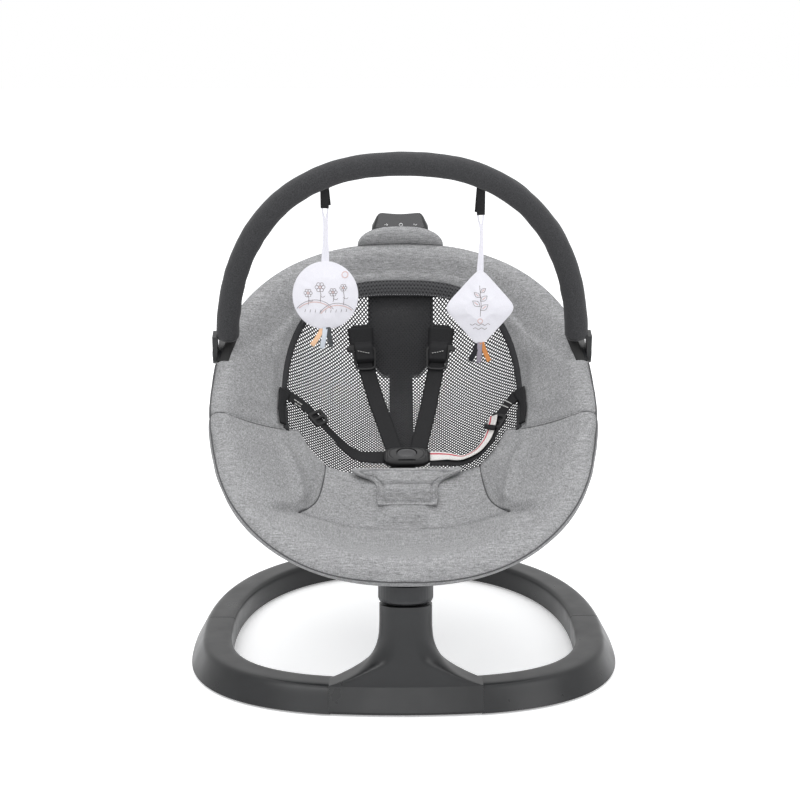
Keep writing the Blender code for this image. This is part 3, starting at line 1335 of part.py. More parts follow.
def group_bodies():
    """Parent every piece to the axis that it moves about."""
    swing, bar, toys = build_empties()
    bpy.context.view_layer.update()
    fixed = ("column_housing", "column_base_cover", "base_arc", "ring_bottom_cover", "foot_pad",
             "upper_bearing", "lower_bearing", "drive_coil", "power_inlet")
    on_bar = ("bar_sleeve", "bar_tube", "bar_socket", "bar_pin", "toy_loop")
    seat_parts, bar_parts = [], []
    for part in list(PARTS.objects):
        if part.type == "EMPTY" or part.name.startswith(fixed):
            continue
        if part.name.startswith(on_bar):
            bar_parts.append(part)
        elif part.name.startswith(("toy_ribbon", "toy_body", "toy_tails")):
            side = "left" if "left" in part.name else "right"
            hang_on(toys[side], [part])
        else:
            seat_parts.append(part)
    hang_on(swing, seat_parts + [bar])
    hang_on(bar, bar_parts + list(toys.values()))


clear_scene()
PARTS = new_collection("child_swing_seat")
CUTTERS = new_collection("cutters")
ring_spans = build_ring()
build_feet(ring_spans)
build_column()
build_drive()
build_collar()
build_arm()
build_pod()
build_rim_tube()
build_clamps()
build_head_cover()
build_front_cover()
build_cushion()
build_mesh_panel()
build_crotch_pad()
build_head_roll()
build_brackets()
build_toy_bar()
build_harness()
build_toys()
group_bodies()
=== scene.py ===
"""Visual model of the child swing seat: padded cover, knit back, harness, toys and moulded base."""
import json
import math

import bmesh
import bpy
import numpy as np
from mathutils import Matrix, Vector
from mathutils.bvhtree import BVHTree


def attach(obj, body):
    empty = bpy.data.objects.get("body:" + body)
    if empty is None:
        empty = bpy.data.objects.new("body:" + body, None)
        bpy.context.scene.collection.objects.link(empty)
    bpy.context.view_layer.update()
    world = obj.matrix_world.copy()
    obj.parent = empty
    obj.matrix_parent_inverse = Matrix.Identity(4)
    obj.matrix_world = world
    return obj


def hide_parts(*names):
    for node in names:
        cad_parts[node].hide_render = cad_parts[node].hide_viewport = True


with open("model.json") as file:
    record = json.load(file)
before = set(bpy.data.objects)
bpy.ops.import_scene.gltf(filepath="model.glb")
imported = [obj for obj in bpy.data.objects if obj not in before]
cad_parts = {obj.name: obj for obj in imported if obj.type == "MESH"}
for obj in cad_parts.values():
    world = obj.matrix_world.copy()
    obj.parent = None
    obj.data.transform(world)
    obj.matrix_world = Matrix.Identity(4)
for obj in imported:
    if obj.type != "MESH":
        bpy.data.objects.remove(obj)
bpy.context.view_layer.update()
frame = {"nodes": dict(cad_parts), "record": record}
SIDES = ((1, "right"), (-1, "left"))

# Camera, worked out from the photograph's view of the base and the seat
CAMERA_PLACE = (-0.045, -2.939, 1.062)
CAMERA_PITCH = math.radians(13.5)
CAMERA_YAW = math.radians(0.8)
CAMERA_LENS = 94.5

# Ring base, seen from above
RING_HALF_WIDTH = 0.303
RING_WIDEST_Y = -0.069
RING_FRONT_REACH = 0.256
RING_REAR_REACH = 0.394
RING_FRONT_POWER = 2.6
RING_REAR_POWER = 2.25
RING_HEIGHT = 0.037
RING_DRAFT = 0.018
RING_WIDTH = 0.058
RING_WALL = 0.003
RING_EDGE = 0.0045
RING_SEAM_Y = -0.023
RING_SLIP = 0.0005
FOOT_HEIGHT = 0.003

# Front block and column
BLOCK_HALF_WIDTH = 0.103
BLOCK_PROUD = 0.0015
BLOCK_POWER = 7.0
NOSE_HALF_WIDTH = 0.0085
FLARE_POWER = 4.5
NOSE_POWER = 5.5
AXIS_Y = -0.264
NECK_Z = 0.140
AXIS_LEAN = math.radians(8.0)
NECK_RADIUS = 0.0355
COLLAR_RADIUS = 0.037
COLLAR_HEIGHT = 0.030
CAVITY_LOW = (-0.088, -0.301, -0.01)
CAVITY_HIGH = (0.088, -0.2715, 0.0335)

# Seat plane and its oval rim
SEAT_FOOT_Y = -0.321
SEAT_FOOT_Z = 0.186
SEAT_SLOPE = math.radians(31.0)
RIM_HALF_WIDTH = 0.259
RIM_HALF_LENGTH = 0.322
RIM_POWER = 2.3
ROLL_RADIUS = 0.017
ROLL_BORE = 0.0125
ROLL_START = math.radians(-90.0)
ROLL_END = math.radians(130.0)
RIM_LENGTH = 2 * (RIM_HALF_LENGTH + ROLL_RADIUS)

# Padded bowl; places up the seat are shares of the rim's length
SEAT_DEPTH = 0.115
BOWL_REACH = 0.200
BOWL_POWER = 1.7
COVER_EDGE = 0.006
COVER_CROWN = 0.006
COVER_SAG = 0.008
SEWN_GAP = 0.0005
WING_SEAM_W = 0.45 * RIM_LENGTH
WING_SEAM_INNER = (0.150, 0.5325 * RIM_LENGTH)
WINDOW_HALF_WIDTH = 0.176
WINDOW_MIDDLE_W = 0.59 * RIM_LENGTH
WINDOW_RISE = 0.3263 * RIM_LENGTH
WINDOW_POWER = 2.6
WINDOW_FOOT_U = 0.171
WINDOW_LOW_W = 0.4528 * RIM_LENGTH
CREASE_SHARES = ((0.135, 0.497), (0.1215, 0.4749), (0.1115, 0.4587), (0.115, 0.4012), (0.1215, 0.3451),
                 (0.133, 0.3024))
CREASE = tuple((side, share * RIM_LENGTH) for side, share in CREASE_SHARES)
CROTCH_PROFILE = ((0.042, 0.3481), (0.044, 0.3628), (0.044, 0.3864), (0.045, 0.4071), (0.056, 0.4248),
                  (0.074, 0.4366), (0.082, 0.4454), (0.079, 0.4543))
CUSHION_FRONT_HALF = 0.147
CUSHION_FRONT_W = 0.2625 * RIM_LENGTH
CUSHION_FRONT_BOW = 0.018
CUSHION_REAR_BOW = -0.004
MESH_DROP = 0.0026
MESH_MARGIN = 0.004
KNIT_PITCH = 0.0052
KNIT_HOLE = 0.555
KNIT_THICKNESS = 0.0008
KNIT_SIDE = ((0.100, WINDOW_LOW_W), (0.1215, 0.4749 * RIM_LENGTH), (0.135, 0.497 * RIM_LENGTH),
             (0.148, 0.5162 * RIM_LENGTH), (0.172, 0.5229 * RIM_LENGTH), (WINDOW_HALF_WIDTH, WINDOW_MIDDLE_W))
HEM_OUTWARD = 0.0028
HEM_HALF_WIDTH = 0.0046
HEM_HALF_HEIGHT = 0.0017
HEM_SINK = 0.0019
BINDING_INSET = 0.0032
BINDING_HALF_WIDTH = 0.0043
BINDING_HALF_HEIGHT = 0.0019
BINDING_SINK = 0.0012
RIDGE = ((0.176, 0.343), (0.175, 0.313), (0.158, 0.262), (0.149, 0.212))
RIDGE_HEIGHT = 0.0052
RIDGE_WIDTH = 0.0085
RIDGE_CREST = 0.0012
RIDGE_CREST_WIDTH = 0.004
HOLLOW_DEPTH = 0.0022
HOLLOW_WIDTH = 0.014
HOLLOW_OFFSET = 0.019
PULL_DEPTH = 0.0010
CROTCH_WELT = 0.0014
CROTCH_CHANNEL = 0.0028
CROTCH_CHANNEL_IN = 0.0098
CROTCH_FOLD = 0.0055
CROTCH_FOLD_W = 0.257
CROTCH_CREASE = 0.0044
CROTCH_CREASE_W = 0.2745
CROTCH_SEAM = 0.0022
CROTCH_SEAM_W = 0.2395
HEAD_ROLL_HALF = 0.0655
HEAD_ROLL_DEPTH = 0.0095
HEAD_ROLL_RISE = 0.0130
HEAD_ROLL_FOOT = 0.0158
HEAD_ROLL_GATHER = 0.0016
BAND_REACH = 0.150
BAND_END_DEPTH = 0.0085
BAND_EXTRA_DEPTH = 0.0082
BAND_LIFT = 0.0012
BAND_UNDER = 0.0040
PIPING_FRONT_ANGLE = math.radians(8.0)
PIPING_SIDE_ANGLE = math.radians(35.0)
PIPING_RADIUS = 0.0010
PIPING_PROUD = 0.0002

# Cords sunk in the seams: radius and height over the bowl. The dark crease cord is painted shade for the
# crease between the front cover and the cushion
CREASE_SHADE_CORD = (0.0015, -0.0020)
WING_CORD = (0.0013, -0.0018)
FRONT_CORD = (0.0015, -0.0016)

# Stitches: pitch, length of one stitch and radius of the thread
BAND_STITCH = (0.0036, 0.0020, 0.00042)
SEAM_STITCH = (0.0042, 0.0026, 0.00035)
TAB_STITCH = (0.0036, 0.0022, 0.00045)
WAIST_STITCH = (0.0040, 0.0030, 0.0007)

# Spine arm and control pod
ARM_DROP = 0.018
ARM_THICKNESS = 0.018
ARM_EDGE = 0.0045
ARM_RIM_GAP = 0.0025
STEM_HALF_WIDTH = 0.018
PADDLE_HALF_WIDTH = 0.050
ARM_HUB_HALF_WIDTH = 0.029
PADDLE_START_W = 0.7655 * RIM_LENGTH
PADDLE_FULL_W = 0.8481 * RIM_LENGTH
POD_LOW_HALF_WIDTH = 0.0435
POD_TOP_HALF_WIDTH = 0.0345
HALF_GAP = 0.00015
ARM_SHARES = (0.192, 0.251, 0.324, 0.413, 0.516, 0.619, 0.70, 0.75, 0.7655, 0.7685, 0.7725, 0.778, 0.785,
              0.794, 0.805, 0.816, 0.828, 0.8381, 0.8481, 0.87, 0.90)
POD_LOW_FRONT = (0.0, 0.0224, 0.0361)
POD_LOW_BACK = (0.0, 0.0604, 0.0396)
POD_TOP_FRONT = (0.0, 0.0424, 0.0586)
POD_TOP_BACK = (0.0, 0.0574, 0.0536)
POD_DIP = 0.0030
POD_HORN = 0.0022
ICON_SIZE = 0.0026
ICON_LINE = 0.00032
ICON_LIFT = 0.0016

# Toy bar and side brackets
PIVOT_W = 0.649 * RIM_LENGTH
NOTCH_HALF_LENGTH = 0.031
NOTCH_INWARD = 0.006
NOTCH_OUTWARD = 0.060
BAR_LEAN = math.radians(12.0)
BAR_HALF_WIDTH = 0.2535
BAR_RISE = 0.291
BAR_POWER = 2.35
SLEEVE_RADIUS = 0.017
SLEEVE_HEM = 0.0235
HEM_RADIUS = 0.0115
HEM_TAPER = 0.008
BOOT_RADIUS = 0.0131
BOOT_BORE = 0.0116
BOOT_START = math.radians(-75.0)
BOOT_END = math.radians(118.0)

# Toys
TOY_X = 0.110
LOOP_WIDTH = 0.012
LOOP_THICKNESS = 0.0012
LOOP_FOLD = 0.0008
LEFT_LOOP_DROP = 0.028
RIGHT_LOOP_DROP = 0.038
RIBBON_LENGTH = 0.075
RIBBON_DROP = 0.0013
RIBBON_WIDTH = 0.009
DISC_RADIUS = 0.047
DIAMOND_HALF_WIDTH = 0.048
DIAMOND_HALF_HEIGHT = 0.053
TOY_THICKNESS = 0.014
TAIL_LENGTH = 0.030
TAIL_WIDTH = 0.007
MOTIF_SIZE = {"left": 1.22, "right": 1.10}
TAIL_THICKNESS = 0.0009
STRAND_WIDTH = 0.0024
STRAND_THICKNESS = 0.0006
STRAND_START = (0.0, 0.0002, 0.0016)
PRINT_WIDTHS = {"print_line": 0.0006, "print_pink": 0.0013}
PRINT_THICKNESS = 0.00012
PRINT_STEP = 0.0011
PRINT_LIFT = 0.00016
OUTLINE_PLACES = 128
PILLOW_RADII = np.concatenate([np.linspace(0.0, 0.9, 26)[1:], np.linspace(0.9, 1.0, 9)[1:]])

# Harness
STRAP_WIDTH = 0.025
STRAP_THICKNESS = 0.0016
SHOULDER_TOP_W = 0.8363 * RIM_LENGTH
ADJUSTER_W = 0.7714 * RIM_LENGTH
BUCKLE_U = 0.006
BUCKLE_W = 0.4912 * RIM_LENGTH
BUCKLE_WIDTH = 0.068
BUCKLE_LENGTH = 0.034
BUCKLE_HEIGHT = 0.014
BUTTON_HALF_WIDTH = 0.0145
BUTTON_HALF_LENGTH = 0.0095
BUTTON_OFF = 0.002
LIFT_ON_MESH = 0.0035
SLIDE_U = 0.0565
SLIDE_TURN = math.radians(-8.7)
WAIST_LEFT = ((-0.0230, 0.3370), (-0.0600, 0.3365), (-0.0830, 0.3490), (-0.1080, 0.3720), (-0.1260, 0.3900),
              (-0.1500, 0.4070), (-0.1760, 0.4130))
WAIST_RIGHT = ((0.0410, 0.3315), (0.0660, 0.3290), (0.0920, 0.3215), (0.1150, 0.3270), (0.1300, 0.3415),
               (0.1365, 0.3550), (0.1425, 0.3755), (0.1540, 0.3960), (0.1640, 0.4060), (0.1770, 0.4130))
STRIPED_RIGHT = ((0.0400, 0.3365), (0.0660, 0.3345), (0.0900, 0.3255), (0.1120, 0.3305), (0.1250, 0.3435),
                 (0.1305, 0.3540), (0.1345, 0.3660))
STRIPED_END = ((0.1335, 0.3655), (0.1372, 0.3730), (0.1405, 0.3830))
STRIPED_KEEPER = ((0.1265, 0.3705), (0.1335, 0.3655), (0.1420, 0.3590))
WAIST_SLIDE_LEFT = (-0.1275, 0.3910)
WAIST_SLIDE_RIGHT = (0.1425, 0.3755)
WAIST_BARS_LEFT = (((-0.1655, 0.4015), (-0.1530, 0.3990)), ((-0.1655, 0.3935), (-0.1560, 0.3915)))
WAIST_BARS_RIGHT = (((0.1575, 0.4045), (0.1680, 0.3895)), ((0.1525, 0.3985), (0.1635, 0.3840)))
ANCHOR_SHARES = ((0.1765, 0.5160), (0.1800, 0.565), (0.1755, 0.6125))
SHOULDER_TOP_U = 0.0625
TAB_WIDTHS = (0.0400, 0.0360)
TAB_THICKNESS = 0.0034
NECK_WIDTH = 0.0285
KEEPER_WIDTH = 0.0080
FOLD_THICKNESS = 0.0022
ANCHOR_THICKNESS = 0.003
TAPE_RIB_PITCH = 0.0013
TAPE_CORDS = 18

SLIDE_THICKNESS = 0.0042
SLIDE_BEVEL = 0.0011

# Slides: half length, half width at the top and at the foot, width of a bar
SHOULDER_SLIDE = (0.0185, 0.0182, 0.0152, 0.0030)
WAIST_SLIDE = (0.0125, 0.0142, 0.0142, 0.0048)

# Places round an outline, step of the bowl's grid, and the cloth simulation of the pads
TRACK_SAMPLES = 1440
BOWL_STEP = 0.003
SWELL_FRAMES = 16
SWELL_CLOTH = {"quality": 4, "mass": 0.25, "tension_stiffness": 12.0, "compression_stiffness": 6.0,
               "bending_stiffness": 0.15, "use_pressure": True, "shrink_min": -0.03,
               "vertex_group_mass": "held", "pin_stiffness": 1.0}

# Share of white that the floor shows near the object and far from it
FLOOR_WHITE_NEAR = 0.35
FLOOR_WHITE_FAR = 0.60

# Studio lamps: place, what each points at, size and watts; and the world's light
LAMPS = (("key", (-1.6, -2.0, 2.6), (0.0, -0.1, 0.3), (1.6, 1.6), 31.0),
         ("fill", (2.0, -1.6, 1.8), (0.0, -0.1, 0.3), (1.6, 1.6), 19.0),
         ("top", (0.0, 0.3, 2.9), (0.0, 0.0, 0.3), (2.4, 2.0), 50.0),
         ("front", (0.0, -3.1, 1.7), (0.0, 0.1, 0.45), (1.4, 1.0), 13.0))
WORLD_COLOUR = (0.96, 0.975, 1.0, 1.0)
WORLD_LIGHT = 0.60


def round_angles(count):
    """Angles of evenly spaced places round a circle."""
    return np.linspace(0, 2 * math.pi, count + 1)[:-1]


def superellipse(angles, half_x, half_y, power):
    """Places on a superellipse, which is an ellipse where the power is 2."""
    c, s = np.cos(angles), np.sin(angles)
    return np.stack([np.sign(c) * half_x * np.abs(c) ** (2 / power),
                     np.sign(s) * half_y * np.abs(s) ** (2 / power)], axis=-1)


def mix(a, b, share):
    """The value a share of the way from a to b."""
    return a + (b - a) * share


def ease(low, high, value):
    """A smooth step from 0 at low to 1 at high."""
    share = np.clip((value - low) / (high - low), 0.0, 1.0)
    return share * share * (3 - 2 * share)


def bell(value, centre, width):
    """1 at the centre, falling off smoothly on both sides of it."""
    return np.exp(-((value - centre) / width) ** 2)


def unit(vectors):
    return vectors / np.linalg.norm(vectors, axis=-1, keepdims=True)


def heading(points):
    """Direction of travel at each place of a chain of points."""
    return unit(np.gradient(points, axis=0))


def spline(points, count):
    """Points on a smooth curve through a chain of points, the same number on each span."""
    points = np.asarray(points, float)
    chain = np.vstack([2 * points[0] - points[1], points, 2 * points[-1] - points[-2]])
    places = np.linspace(0.0, len(points) - 1, count)
    span = np.minimum(places.astype(int), len(points) - 2)
    t = (places - span)[:, None]
    a, b, c, d = chain[span], chain[span + 1], chain[span + 2], chain[span + 3]
    return 0.5 * (2 * b + (c - a) * t + (2 * a - 5 * b + 4 * c - d) * t ** 2
                  + (3 * b - a - 3 * c + d) * t ** 3)


def even(points, count, spots=None):
    """Evenly spaced places along a chain of points, or places at given distances along it."""
    points = np.asarray(points, float)
    steps = np.linalg.norm(np.diff(points, axis=0), axis=1)
    reach = np.concatenate([[0.0], np.cumsum(steps)])
    spots = np.linspace(0.0, reach[-1], count) if spots is None else spots
    return np.stack([np.interp(spots, reach, points[:, k]) for k in range(points.shape[1])], axis=-1)


def smooth_route(points, count):
    return even(spline(points, 12 * len(points)), count)


def soft_noise(x, y, cell, seed):
    """Smooth random values between -1 and 1 over a plane, the same on every run."""
    table = np.random.default_rng(seed).uniform(-1.0, 1.0, (64, 64))
    gx, gy = x / cell + 1000.0, y / cell + 1000.0
    ix, iy = np.floor(gx).astype(int), np.floor(gy).astype(int)
    tx, ty = gx - ix, gy - iy
    tx, ty = tx * tx * (3 - 2 * tx), ty * ty * (3 - 2 * ty)
    low = mix(table[ix % 64, iy % 64], table[(ix + 1) % 64, iy % 64], tx)
    high = mix(table[ix % 64, (iy + 1) % 64], table[(ix + 1) % 64, (iy + 1) % 64], tx)
    return mix(low, high, ty)


def distance_to_path(u, w, path):
    """Distance of each place to a chain of points."""
    path = even(path, 80)
    gaps = np.hypot(u[..., None] - path[:, 0], w[..., None] - path[:, 1])
    return gaps.min(axis=-1)


class Track:
    """A closed outline, walked by share of its length from its front end, right side first."""

    def __init__(self, outline):
        self.points = outline(np.linspace(-math.pi / 2, 1.5 * math.pi, TRACK_SAMPLES + 1))
        steps = np.linalg.norm(np.diff(self.points, axis=0), axis=1)
        self.reach = np.concatenate([[0.0], np.cumsum(steps)])
        self.length = float(self.reach[-1])

    def place(self, share):
        walked = np.mod(share, 1.0) * self.length
        return np.stack([np.interp(walked, self.reach, self.points[:, k]) for k in (0, 1)], axis=-1)

    def outward(self, share):
        along = unit(self.place(share + 0.002) - self.place(share - 0.002))
        return np.stack([along[..., 1], -along[..., 0]], axis=-1)

    def share_at(self, height):
        half = TRACK_SAMPLES // 2
        return float(np.interp(height, self.points[:half, 1], self.reach[:half])) / self.length

    def share_beside(self, side):
        quarter = TRACK_SAMPLES // 4
        return float(np.interp(side, self.points[:quarter, 0], self.reach[:quarter])) / self.length


def ring_outline(angles):
    front = np.sin(angles) < 0
    reach = np.where(front, RING_FRONT_REACH, RING_REAR_REACH)
    power = np.where(front, RING_FRONT_POWER, RING_REAR_POWER)
    return superellipse(angles, RING_HALF_WIDTH, reach, power) + (0.0, RING_WIDEST_Y)


def rim_outline(angles):
    return (superellipse(angles, RIM_HALF_WIDTH, RIM_HALF_LENGTH, RIM_POWER)
            + (0.0, ROLL_RADIUS + RIM_HALF_LENGTH))


RING = Track(ring_outline)
RIM = Track(rim_outline)


def crest_at(shares):
    """Where the cover leaves the rim's roll for the bowl."""
    return RIM.place(shares) + RIM.outward(shares) * ROLL_RADIUS * math.cos(ROLL_END)


class Bowl:
    """Height of the padded bowl over the rim plane, looked up smoothly on a fine grid."""

    def __init__(self):
        self.low = np.array([-0.33, -0.06])
        us = np.arange(self.low[0], 0.3301, BOWL_STEP)
        ws = np.arange(self.low[1], RIM_LENGTH + 0.06, BOWL_STEP)
        outline = RIM.points[::3]
        edge = ROLL_RADIUS * math.sin(ROLL_END - math.pi / 2)
        top = ROLL_RADIUS * math.cos(ROLL_END - math.pi / 2)
        rows = []
        for u in us:
            gaps = np.hypot(u - outline[:, 0][:, None], ws[None, :] - outline[:, 1][:, None]).min(axis=0)
            share = np.clip((gaps - edge) / (BOWL_REACH - edge), 0.0, 1.0)
            rows.append(top - (top + SEAT_DEPTH) * (1 - (1 - share) ** BOWL_POWER))
        self.table = np.array(rows)

    def __call__(self, u, w):
        x, y = (u - self.low[0]) / BOWL_STEP, (w - self.low[1]) / BOWL_STEP
        i = np.clip(np.floor(x).astype(int), 1, self.table.shape[0] - 3)
        j = np.clip(np.floor(y).astype(int), 1, self.table.shape[1] - 3)
        total = 0.0
        for a, weight_x in enumerate(cubic_weights(x - i)):
            for b, weight_y in enumerate(cubic_weights(y - j)):
                total = total + weight_x * weight_y * self.table[i + a - 1, j + b - 1]
        return total


def cubic_weights(t):
    return ((-t + 2 * t ** 2 - t ** 3) / 2, (2 - 5 * t ** 2 + 3 * t ** 3) / 2,
            (t + 4 * t ** 2 - 3 * t ** 3) / 2, (t ** 3 - t ** 2) / 2)


BOWL = Bowl()


def to_world(spots):
    """World places of points in the seat's frame: across, up the slope, off it."""
    spots = np.asarray(spots, float)
    c, s = math.cos(SEAT_SLOPE), math.sin(SEAT_SLOPE)
    u, w, n = spots[..., 0], spots[..., 1], spots[..., 2]
    return np.stack([u, SEAT_FOOT_Y + w * c - n * s, SEAT_FOOT_Z + w * s + n * c], axis=-1)


def bowl_normal(u, w):
    step = 0.002
    slope_u = (BOWL(u + step, w) - BOWL(u - step, w)) / (2 * step)
    slope_w = (BOWL(u, w + step) - BOWL(u, w - step)) / (2 * step)
    return unit(np.stack([-slope_u, -slope_w, np.ones_like(slope_u)], axis=-1))


def off_bowl(u, w, lift):
    """Seat-frame places that stand off the bowl along its normal."""
    u, w = np.asarray(u, float), np.asarray(w, float)
    lift = np.broadcast_to(lift, u.shape)
    return np.stack([u, w, BOWL(u, w)], axis=-1) + bowl_normal(u, w) * lift[..., None]


def axis_matrix(height):
    turn = Matrix.Rotation(-AXIS_LEAN, 4, "X")
    return Matrix.Translation((0.0, AXIS_Y, NECK_Z)) @ turn @ Matrix.Translation((0.0, 0.0, height))


# Materials

def node(tree, kind, **values):
    """Add a shader node; names with capitals are sockets, the rest are its settings."""
    made = tree.nodes.new(kind)
    for key, value in values.items():
        if key[0].isupper():
            made.inputs[key.replace("_", " ")].default_value = value
        else:
            setattr(made, key, value)
    return made


def link(tree, start, end):
    tree.links.new(start, end)


def math_node(tree, operation, first, second=None):
    """A Math node; each input is a socket or a number."""
    made = tree.nodes.new("ShaderNodeMath")
    made.operation = operation
    for slot, value in zip(made.inputs, (first, second)):
        if value is None:
            continue
        if isinstance(value, bpy.types.NodeSocket):
            link(tree, value, slot)
        else:
            slot.default_value = value
    return made.outputs[0]


def start_material(name, roughness, metallic=0.0, sheen=0.0, specular=0.5):
    material = bpy.data.materials.new(name)
    material.use_nodes = True
    tree = material.node_tree
    shader = tree.nodes["Principled BSDF"]
    shader.inputs["Roughness"].default_value = roughness
    shader.inputs["Metallic"].default_value = metallic
    shader.inputs["Specular IOR Level"].default_value = specular
    shader.inputs["Sheen Weight"].default_value = sheen
    shader.inputs["Sheen Roughness"].default_value = 0.5
    return material, tree, shader


def object_coords(tree):
    return node(tree, "ShaderNodeTexCoord").outputs["Object"]


def tint(colour, factor):
    return tuple(min(c * factor, 1.0) for c in colour)


def noise_of(tree, coords, stretch, scale, detail=3.0, turn=(0.0, 0.0, 0.0)):
    """A noise in real units: its scale is in features a metre, stretched along each axis of turned space."""
    mapping = node(tree, "ShaderNodeMapping")
    mapping.inputs["Scale"].default_value = stretch
    mapping.inputs["Rotation"].default_value = turn
    link(tree, coords, mapping.inputs["Vector"])
    noise = node(tree, "ShaderNodeTexNoise", Scale=scale, Detail=detail)
    link(tree, mapping.outputs[0], noise.inputs["Vector"])
    return noise.outputs["Fac"]


def ramp_of(tree, value, stops):
    """A colour ramp over (place, colour) stops."""
    ramp = node(tree, "ShaderNodeValToRGB")
    link(tree, value, ramp.inputs["Fac"])
    elements = ramp.color_ramp.elements
    while len(elements) < len(stops):
        elements.new(0.5)
    for element, (place, colour) in zip(elements, stops):
        element.position = place
        element.color = (*colour, 1.0)
    return ramp.outputs["Color"]


def bump_on(tree, shader, height, distance, strength=1.0):
    bump = node(tree, "ShaderNodeBump", Distance=distance, Strength=strength)
    link(tree, height, bump.inputs["Height"])
    link(tree, bump.outputs["Normal"], shader.inputs["Normal"])


def uneven_gloss(tree, shader, value, low, high):
    """Roughness that follows a noise between two limits."""
    gloss = node(tree, "ShaderNodeMapRange", From_Min=0.3, From_Max=0.7, To_Min=low, To_Max=high)
    link(tree, value, gloss.inputs["Value"])
    link(tree, gloss.outputs[0], shader.inputs["Roughness"])


def grey(value):
    return (value, value, value * 1.01)


def melange_cloth():
    """Grey two-tone cloth: fine pale and dark threads across and up the seat, over a fine weave."""
    material, tree, shader = start_material("grey_melange_cloth", 0.95, sheen=0.08, specular=0.2)
    coords = object_coords(tree)
    turn = (-SEAT_SLOPE, 0.0, 0.0)
    across = noise_of(tree, coords, (0.16, 1.0, 1.0), 700.0, 2.0, turn)
    upward = noise_of(tree, coords, (1.0, 0.13, 1.0), 640.0, 2.0, turn)
    slub = noise_of(tree, coords, (0.10, 1.0, 1.0), 260.0, 1.0, turn)
    threads = math_node(tree, "ADD", math_node(tree, "MULTIPLY", across, 0.5),
                        math_node(tree, "MULTIPLY", upward, 0.5))
    tone = math_node(tree, "ADD", math_node(tree, "MULTIPLY", threads, 0.84),
                     math_node(tree, "MULTIPLY", slub, 0.16))
    stops = ((0.36, grey(0.165)), (0.45, grey(0.228)), (0.51, grey(0.275)), (0.59, grey(0.335)),
             (0.67, grey(0.41)))
    link(tree, ramp_of(tree, tone, stops), shader.inputs["Base Color"])
    weave = noise_of(tree, coords, (0.5, 1.0, 1.0), 1300.0, 1.0, turn)
    height = math_node(tree, "ADD", weave, math_node(tree, "MULTIPLY", threads, 0.8))
    bump_on(tree, shader, height, 0.0002, 0.6)
    return material


def eyelet_cloth():
    """Black spacer cloth of the top band: rows of small eyelets between raised threads."""
    material, tree, shader = start_material("black_eyelet_cloth", 0.85, specular=0.2)
    coords = object_coords(tree)
    mapping = node(tree, "ShaderNodeMapping")
    mapping.inputs["Rotation"].default_value = (-SEAT_SLOPE, 0.0, math.radians(45))
    link(tree, coords, mapping.inputs["Vector"])
    cells = node(tree, "ShaderNodeTexVoronoi", Scale=270.0, Randomness=0.0)
    link(tree, mapping.outputs[0], cells.inputs["Vector"])
    stops = ((0.16, (0.014, 0.014, 0.015)), (0.42, (0.045, 0.045, 0.047)), (0.6, (0.078, 0.078, 0.081)))
    link(tree, ramp_of(tree, cells.outputs["Distance"], stops), shader.inputs["Base Color"])
    bump_on(tree, shader, cells.outputs["Distance"], 0.0007)
    return material


def plain_cloth(name, colour, roughness, grain=1600.0, depth=0.0003, sheen=0.0, contrast=0.25):
    """Cloth of one colour with a fine thread pattern in its tone and bump."""
    material, tree, shader = start_material(name, roughness, sheen=sheen, specular=0.2)
    coords = object_coords(tree)
    across = noise_of(tree, coords, (0.35, 1.0, 1.0), grain, 1.0)
    upward = noise_of(tree, coords, (1.0, 0.35, 0.35), grain, 1.0)
    threads = math_node(tree, "MULTIPLY", math_node(tree, "ADD", across, upward), 0.5)
    stops = ((0.36, tint(colour, 1 - contrast)), (0.64, tint(colour, 1 + contrast)))
    link(tree, ramp_of(tree, threads, stops), shader.inputs["Base Color"])
    bump_on(tree, shader, threads, depth)
    return material


def tape_cloth(name, colour, stripes=()):
    """Woven tape: ribs across it, a firmer selvedge, and stripes along it, from the tape's own map."""
    material, tree, shader = start_material(name, 0.72, specular=0.2)
    along_across = node(tree, "ShaderNodeUVMap", uv_map="tape").outputs["UV"]
    parts = node(tree, "ShaderNodeSeparateXYZ")
    link(tree, along_across, parts.inputs[0])
    along, across = parts.outputs["X"], parts.outputs["Y"]
    ribs = math_node(tree, "SINE", math_node(tree, "MULTIPLY", along, 2 * math.pi / TAPE_RIB_PITCH))
    cords = math_node(tree, "SINE", math_node(tree, "MULTIPLY", across, 2 * math.pi * TAPE_CORDS))
    weave = math_node(tree, "ADD", math_node(tree, "MULTIPLY", ribs, 0.5),
                      math_node(tree, "MULTIPLY", cords, 0.5))
    coords = object_coords(tree)
    fuzz = noise_of(tree, coords, (1.0, 1.0, 1.0), 1500.0, 2.0)
    tone = math_node(tree, "ADD", fuzz, math_node(tree, "MULTIPLY", weave, 0.06))
    shade = ramp_of(tree, tone, ((0.32, tint(colour, 0.72)), (0.68, tint(colour, 1.3))))
    for centre, half, stripe in stripes:
        offset = math_node(tree, "ABSOLUTE", math_node(tree, "SUBTRACT", across, centre))
        inside = math_node(tree, "LESS_THAN", offset, half)
        blend = node(tree, "ShaderNodeMix", data_type="RGBA")
        link(tree, inside, blend.inputs[0])
        link(tree, shade, blend.inputs[6])
        blend.inputs[7].default_value = (*stripe, 1.0)
        shade = blend.outputs[2]
    link(tree, shade, shader.inputs["Base Color"])
    height = math_node(tree, "ADD", weave, math_node(tree, "MULTIPLY", fuzz, 0.8))
    bump_on(tree, shader, height, 0.00018, 0.7)
    return material


